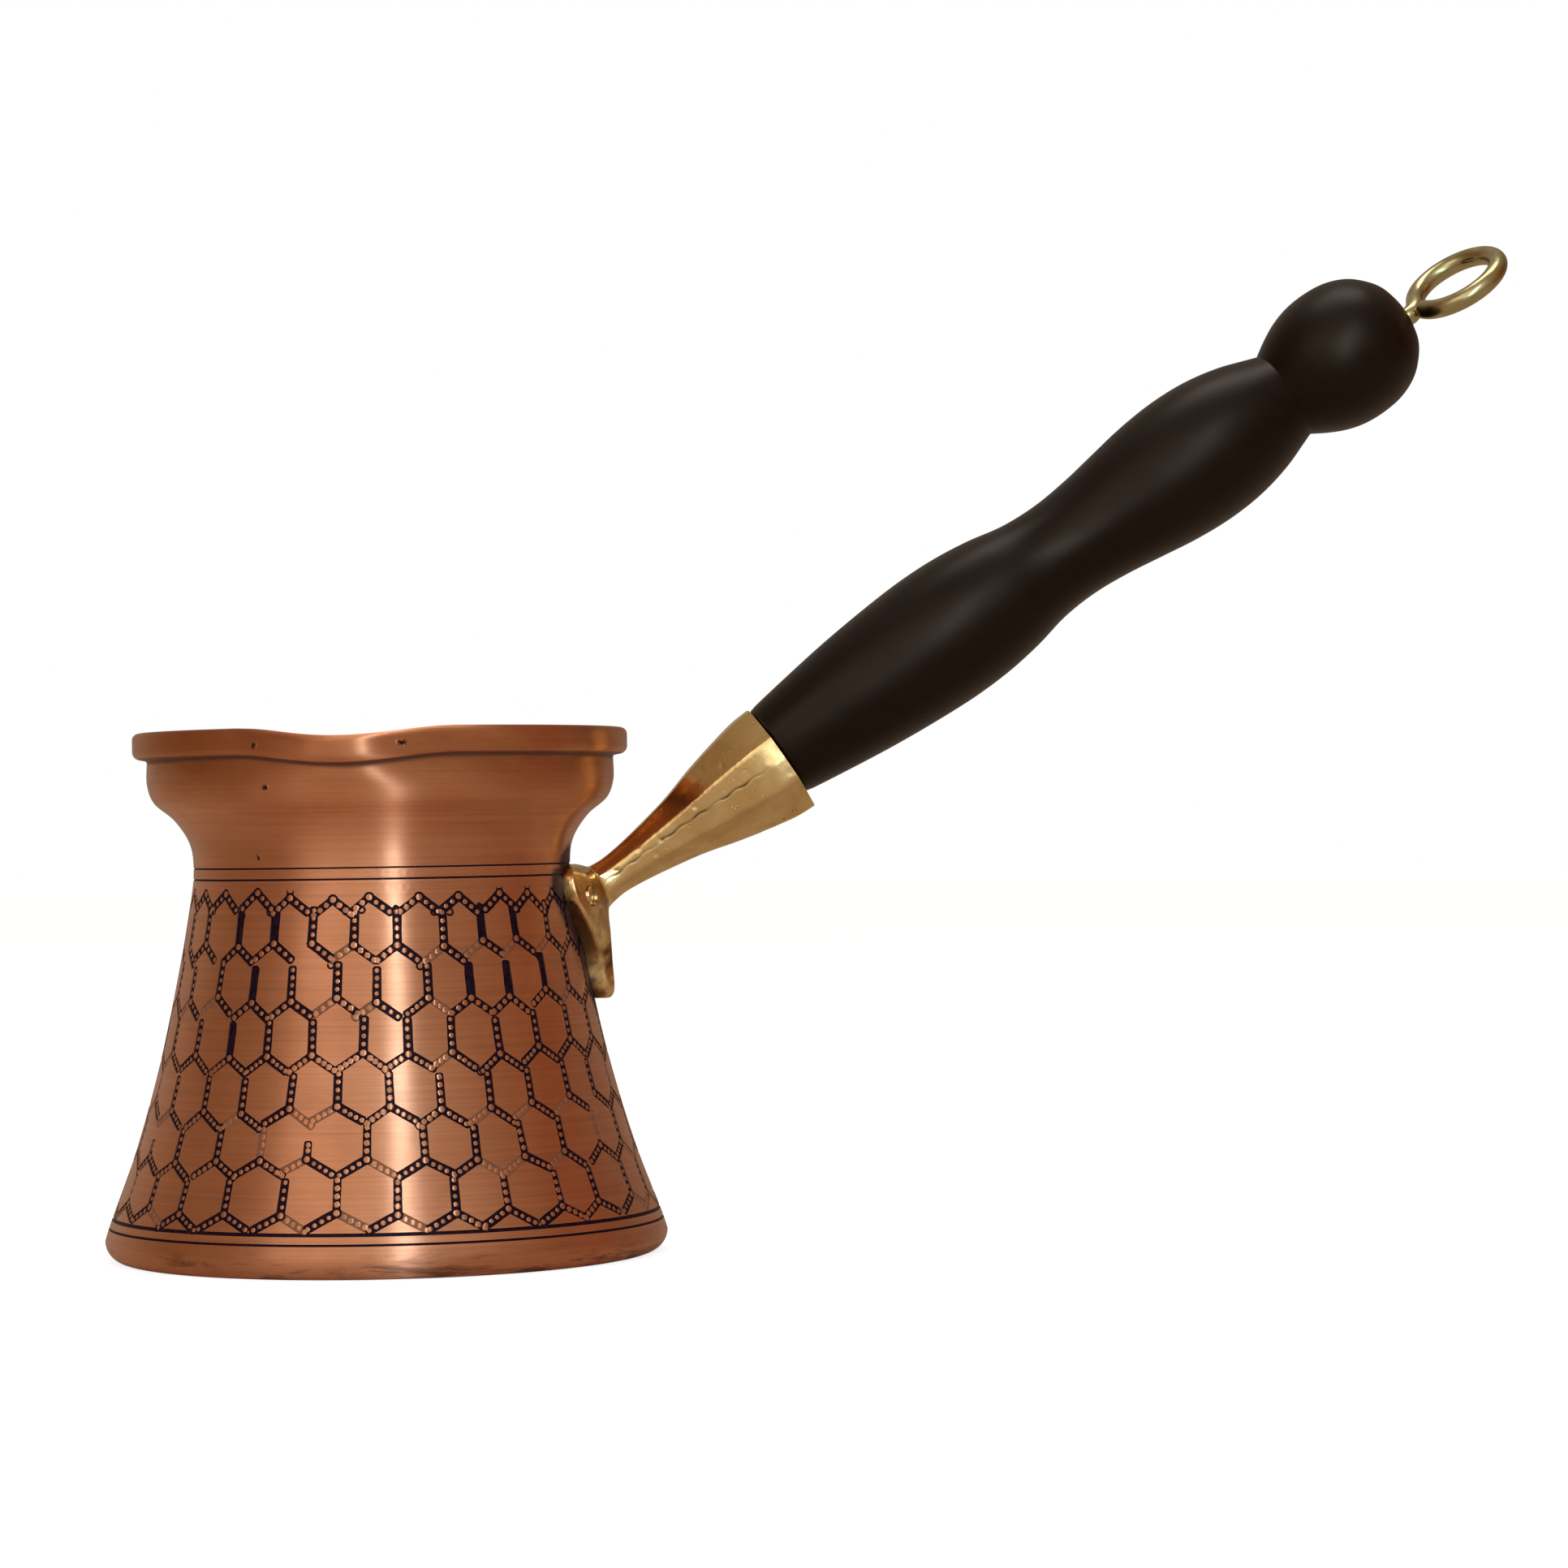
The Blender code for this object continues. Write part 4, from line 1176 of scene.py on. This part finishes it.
def brass_material(name, base, deep):
    s = Shader(name)
    file_marks = s.noise(1.0, 3.0, 0.6, stretch=(2600.0, 200.0, 500.0), turn=(0.0, 0.9, 0.3))
    cloud = s.noise(180.0, 5.0, 0.6, 0.6)
    pits = s.noise(900.0, 3.0, 0.7)
    tone = s.mix(s.ramp(cloud, 0.35, 0.68), base, deep)
    pitted = s.math("MULTIPLY", s.ramp(pits, 0.66, 0.72), s.ramp(cloud, 0.5, 0.6))
    tone = s.mix(s.math("MULTIPLY", pitted, 0.85), tone, (0.10, 0.055, 0.02))
    seam = s.attribute("seam")
    tone = s.mix(seam, tone, (0.045, 0.026, 0.012))
    # Darker in patches in the corner between horn and plate and towards the plate's bottom, and
    # rougher there
    corner_and_low_darkening = s.math("MULTIPLY", s.ramp(s.attribute("crevice"), 0.25, 0.9), s.ramp(cloud, 0.4, 0.62))
    tone = s.mix(s.math("MULTIPLY", corner_and_low_darkening, 0.85), tone, (0.10, 0.045, 0.016))
    s.set(Base_Color=tone, Metallic=1.0)
    rough = s.math("ADD", s.ramp(cloud, 0.3, 0.7, 0.14, 0.24), s.math("MULTIPLY", corner_and_low_darkening, 0.3))
    s.set(Roughness=s.math("ADD", rough, s.math("MULTIPLY", seam, 0.35)))
    relief = s.bump(file_marks, 0.16, 0.00005)
    relief = s.bump(cloud, 0.3, 0.0002, relief)
    depth = s.math("MULTIPLY", s.math("MAXIMUM", pitted, seam), -1.0)
    s.set(Normal=s.bump(depth, 0.6, 0.00012, relief))
    return s.material


def wood_material():
    s = Shader("dark_varnished_wood")
    turn = (0.0, GRIP_RISE, 0.0)
    grain = s.noise(1.0, 6.0, 0.62, 0.3, stretch=(22.0, 520.0, 520.0), turn=turn)
    pores = s.noise(1.0, 3.0, 0.6, stretch=(70.0, 2600.0, 2600.0), turn=turn)
    rings = s.noise(1.0, 2.0, 0.5, stretch=(2400.0, 25.0, 25.0), turn=turn)
    cloud = s.noise(60.0, 4.0, 0.55)
    tone = s.mix(s.ramp(grain, 0.32, 0.7), (0.0014, 0.0007, 0.0008), (0.0048, 0.0021, 0.0019))
    tone = s.mix(s.ramp(cloud, 0.4, 0.75, 0.0, 0.5), tone, (0.0034, 0.0017, 0.0016))
    s.set(Base_Color=tone, Roughness=s.ramp(cloud, 0.3, 0.7, 0.34, 0.44))
    relief = s.bump(pores, 0.10, 0.00008, s.bump(rings, 0.08, 0.00006))
    s.set(Normal=relief, Specular_IOR_Level=0.24, Specular_Tint=(1.0, 0.74, 0.55, 1.0))
    return s.material


def plated_material():
    s = Shader("yellow_plated_steel")
    cloud = s.noise(260.0, 4.0, 0.55, 0.5)
    hue = s.noise(140.0, 2.0, 0.5)
    tone = s.mix(s.ramp(cloud, 0.35, 0.7), (0.40, 0.34, 0.17), (0.54, 0.46, 0.28))
    tone = s.mix(s.ramp(hue, 0.5, 0.68, 0.0, 0.55), tone, (0.30, 0.33, 0.11))
    s.set(Base_Color=tone, Metallic=1.0, Roughness=s.ramp(cloud, 0.3, 0.7, 0.2, 0.3))
    s.set(Normal=s.bump(s.noise(1400.0, 3.0), 0.08, 0.00008))
    return s.material


# ---------------------------------------------------------------- studio

def floor_material():
    """Matt and pale, lifted a little for the eye alone so that it stays pale in dim light."""
    s = Shader("pale_floor")
    seen = s.node("ShaderNodeLightPath").outputs["Is Camera Ray"]
    s.set(Base_Color=(0.60, 0.50, 0.40, 1.0), Roughness=0.8, Specular_IOR_Level=0.1)
    s.set(Emission_Color=(0.93, 0.96, 1.0, 1.0), Emission_Strength=s.math("MULTIPLY", seen, 0.86))
    return s.material


def area_light(name, place, target, size, power, colour):
    data = bpy.data.lights.new(name, "AREA")
    data.shape = "RECTANGLE"
    data.size, data.size_y = size
    data.energy = power
    data.color = colour
    light = bpy.data.objects.new(name, data)
    bpy.context.scene.collection.objects.link(light)
    light.location = place
    light.rotation_mode = "QUATERNION"
    light.rotation_quaternion = (Vector(target) - Vector(place)).to_track_quat("-Z", "Y")


# What the metal sees all round: compass angle in degrees and light
SURROUNDINGS = [
    (-180, (0.25, 0.13, 0.06)), (-158, (0.35, 0.21, 0.12)), (-132, (0.96, 0.80, 0.66)),
    (-116, (1.16, 1.02, 0.88)), (-101, (1.50, 1.44, 1.28)), (-90, (1.20, 1.14, 1.0)),
    (-68, (0.56, 0.46, 0.36)), (-46, (0.46, 0.34, 0.24)), (-22, (0.32, 0.17, 0.09)),
    (2, (0.30, 0.08, 0.02)), (14, (0.27, 0.07, 0.02)), (26, (0.24, 0.14, 0.09)),
    (70, (0.28, 0.20, 0.15)), (100, (0.42, 0.35, 0.28)), (142, (0.34, 0.25, 0.18)),
    (160, (0.22, 0.12, 0.06)), (180, (0.25, 0.13, 0.06)),
]


# Soft lights: name, place, target, width and height in metres, watts, colour
LIGHTS = [
    ("key", (0.15, -1.25, 0.5), (0.02, 0.0, 0.05), (0.05, 0.9), 4.8, (0.62, 0.82, 1.0)),
    ("fill_left", (-0.9, -1.1, 0.9), (0.02, 0.0, 0.05), (0.7, 0.7), 1.3, (1.0, 1.0, 1.0)),
    ("top", (0.1, 0.15, 1.4), (0.06, 0.0, 0.08), (0.8, 0.5), 5.0, (1.0, 1.0, 1.0)),
]
FLOOR_REACH = 4.0              # metres
CAMERA_PLACE = (0.0, -0.70, 0.0653)
CAMERA_LENS = 104.05           # for a 36 mm sensor
CAMERA_TURN = (5.078, 0.489, 0.9)      # heading, pitch and roll in degrees


def make_world():
    """Pale to the eye; to the metal, a room that is brighter in some directions."""
    world = bpy.data.worlds.new("studio")
    bpy.context.scene.world = world
    world.use_nodes = True
    s = Nodes(world.node_tree)
    split = s.node("ShaderNodeSeparateXYZ", {
        "Vector": s.node("ShaderNodeTexCoord").outputs["Generated"]})
    compass = s.math("ARCTAN2", split.outputs[1], split.outputs[0])
    ramp = s.node("ShaderNodeValToRGB", {"Fac": s.ramp(compass, -math.pi, math.pi)})
    stops = ramp.color_ramp.elements
    while len(stops) < len(SURROUNDINGS):
        stops.new(0.5)
    for stop, (angle, light) in zip(stops, SURROUNDINGS):
        stop.position = (angle + 180.0) / 360.0
        stop.color = (*light, 1.0)
    rise = s.ramp(split.outputs[2], 0.45, 0.95, 0.0, 1.0)
    room = s.mix(rise, ramp.outputs[0], (0.42, 0.34, 0.26))
    seen = s.node("ShaderNodeLightPath").outputs["Is Camera Ray"]
    s.fill(s.tree.nodes["Background"].inputs["Color"], s.mix(seen, room, (1.0, 1.0, 1.0)))


def make_stage():
    corners = ((-1, -1), (1, -1), (1, 1), (-1, 1))
    verts = [(x * FLOOR_REACH, y * FLOOR_REACH, 0.0) for x, y in corners]
    floor = make_object("floor", verts, [(0, 1, 2, 3)])
    floor.data.materials.append(floor_material())
    for light in LIGHTS:
        area_light(*light)


def make_camera():
    """A long lens a little under the rim's height, level to half a degree."""
    data = bpy.data.cameras.new("camera")
    data.sensor_width = 36.0
    data.lens = CAMERA_LENS
    data.clip_start, data.clip_end = 0.02, 20.0
    heading, pitch, roll = (math.radians(a) for a in CAMERA_TURN)
    ahead = Vector((math.sin(heading) * math.cos(pitch), math.cos(heading) * math.cos(pitch),
                    math.sin(pitch)))
    right = Vector((math.cos(heading), -math.sin(heading), 0.0))
    up = right.cross(ahead)
    turned_right = math.cos(roll) * right - math.sin(roll) * up
    turned_up = math.sin(roll) * right + math.cos(roll) * up
    matrix = Matrix((turned_right, turned_up, -ahead)).transposed().to_4x4()
    matrix.translation = CAMERA_PLACE
    camera = bpy.data.objects.new("camera", data)
    bpy.context.scene.collection.objects.link(camera)
    camera.matrix_world = matrix
    bpy.context.scene.camera = camera


def finish_piece(obj, material, body, node):
    obj.data.materials.clear()
    obj.data.materials.append(material)
    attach(obj, body)
    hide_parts(node)


make_camera()
make_world()
make_stage()
brass = brass_material("cast_brass", (0.80, 0.60, 0.30), (0.66, 0.45, 0.19))
peened = brass_material("peened_brass", (0.74, 0.55, 0.28), (0.52, 0.34, 0.15))
finish_piece(make_body(), copper_material(), "pot", "pot_body")
finish_piece(make_lining(), tin_material(), "pot", "tin_lining")
finish_piece(make_bracket(), brass, "pot", "bracket")
for rivet, node_name in make_rivets():
    finish_piece(rivet, peened, "pot", node_name)
finish_piece(make_grip(), wood_material(), "grip", "handle_grip")
finish_piece(make_bolt(), plated_material(), "eye_bolt", "eye_bolt")
bpy.context.scene.view_settings.view_transform = "Standard"
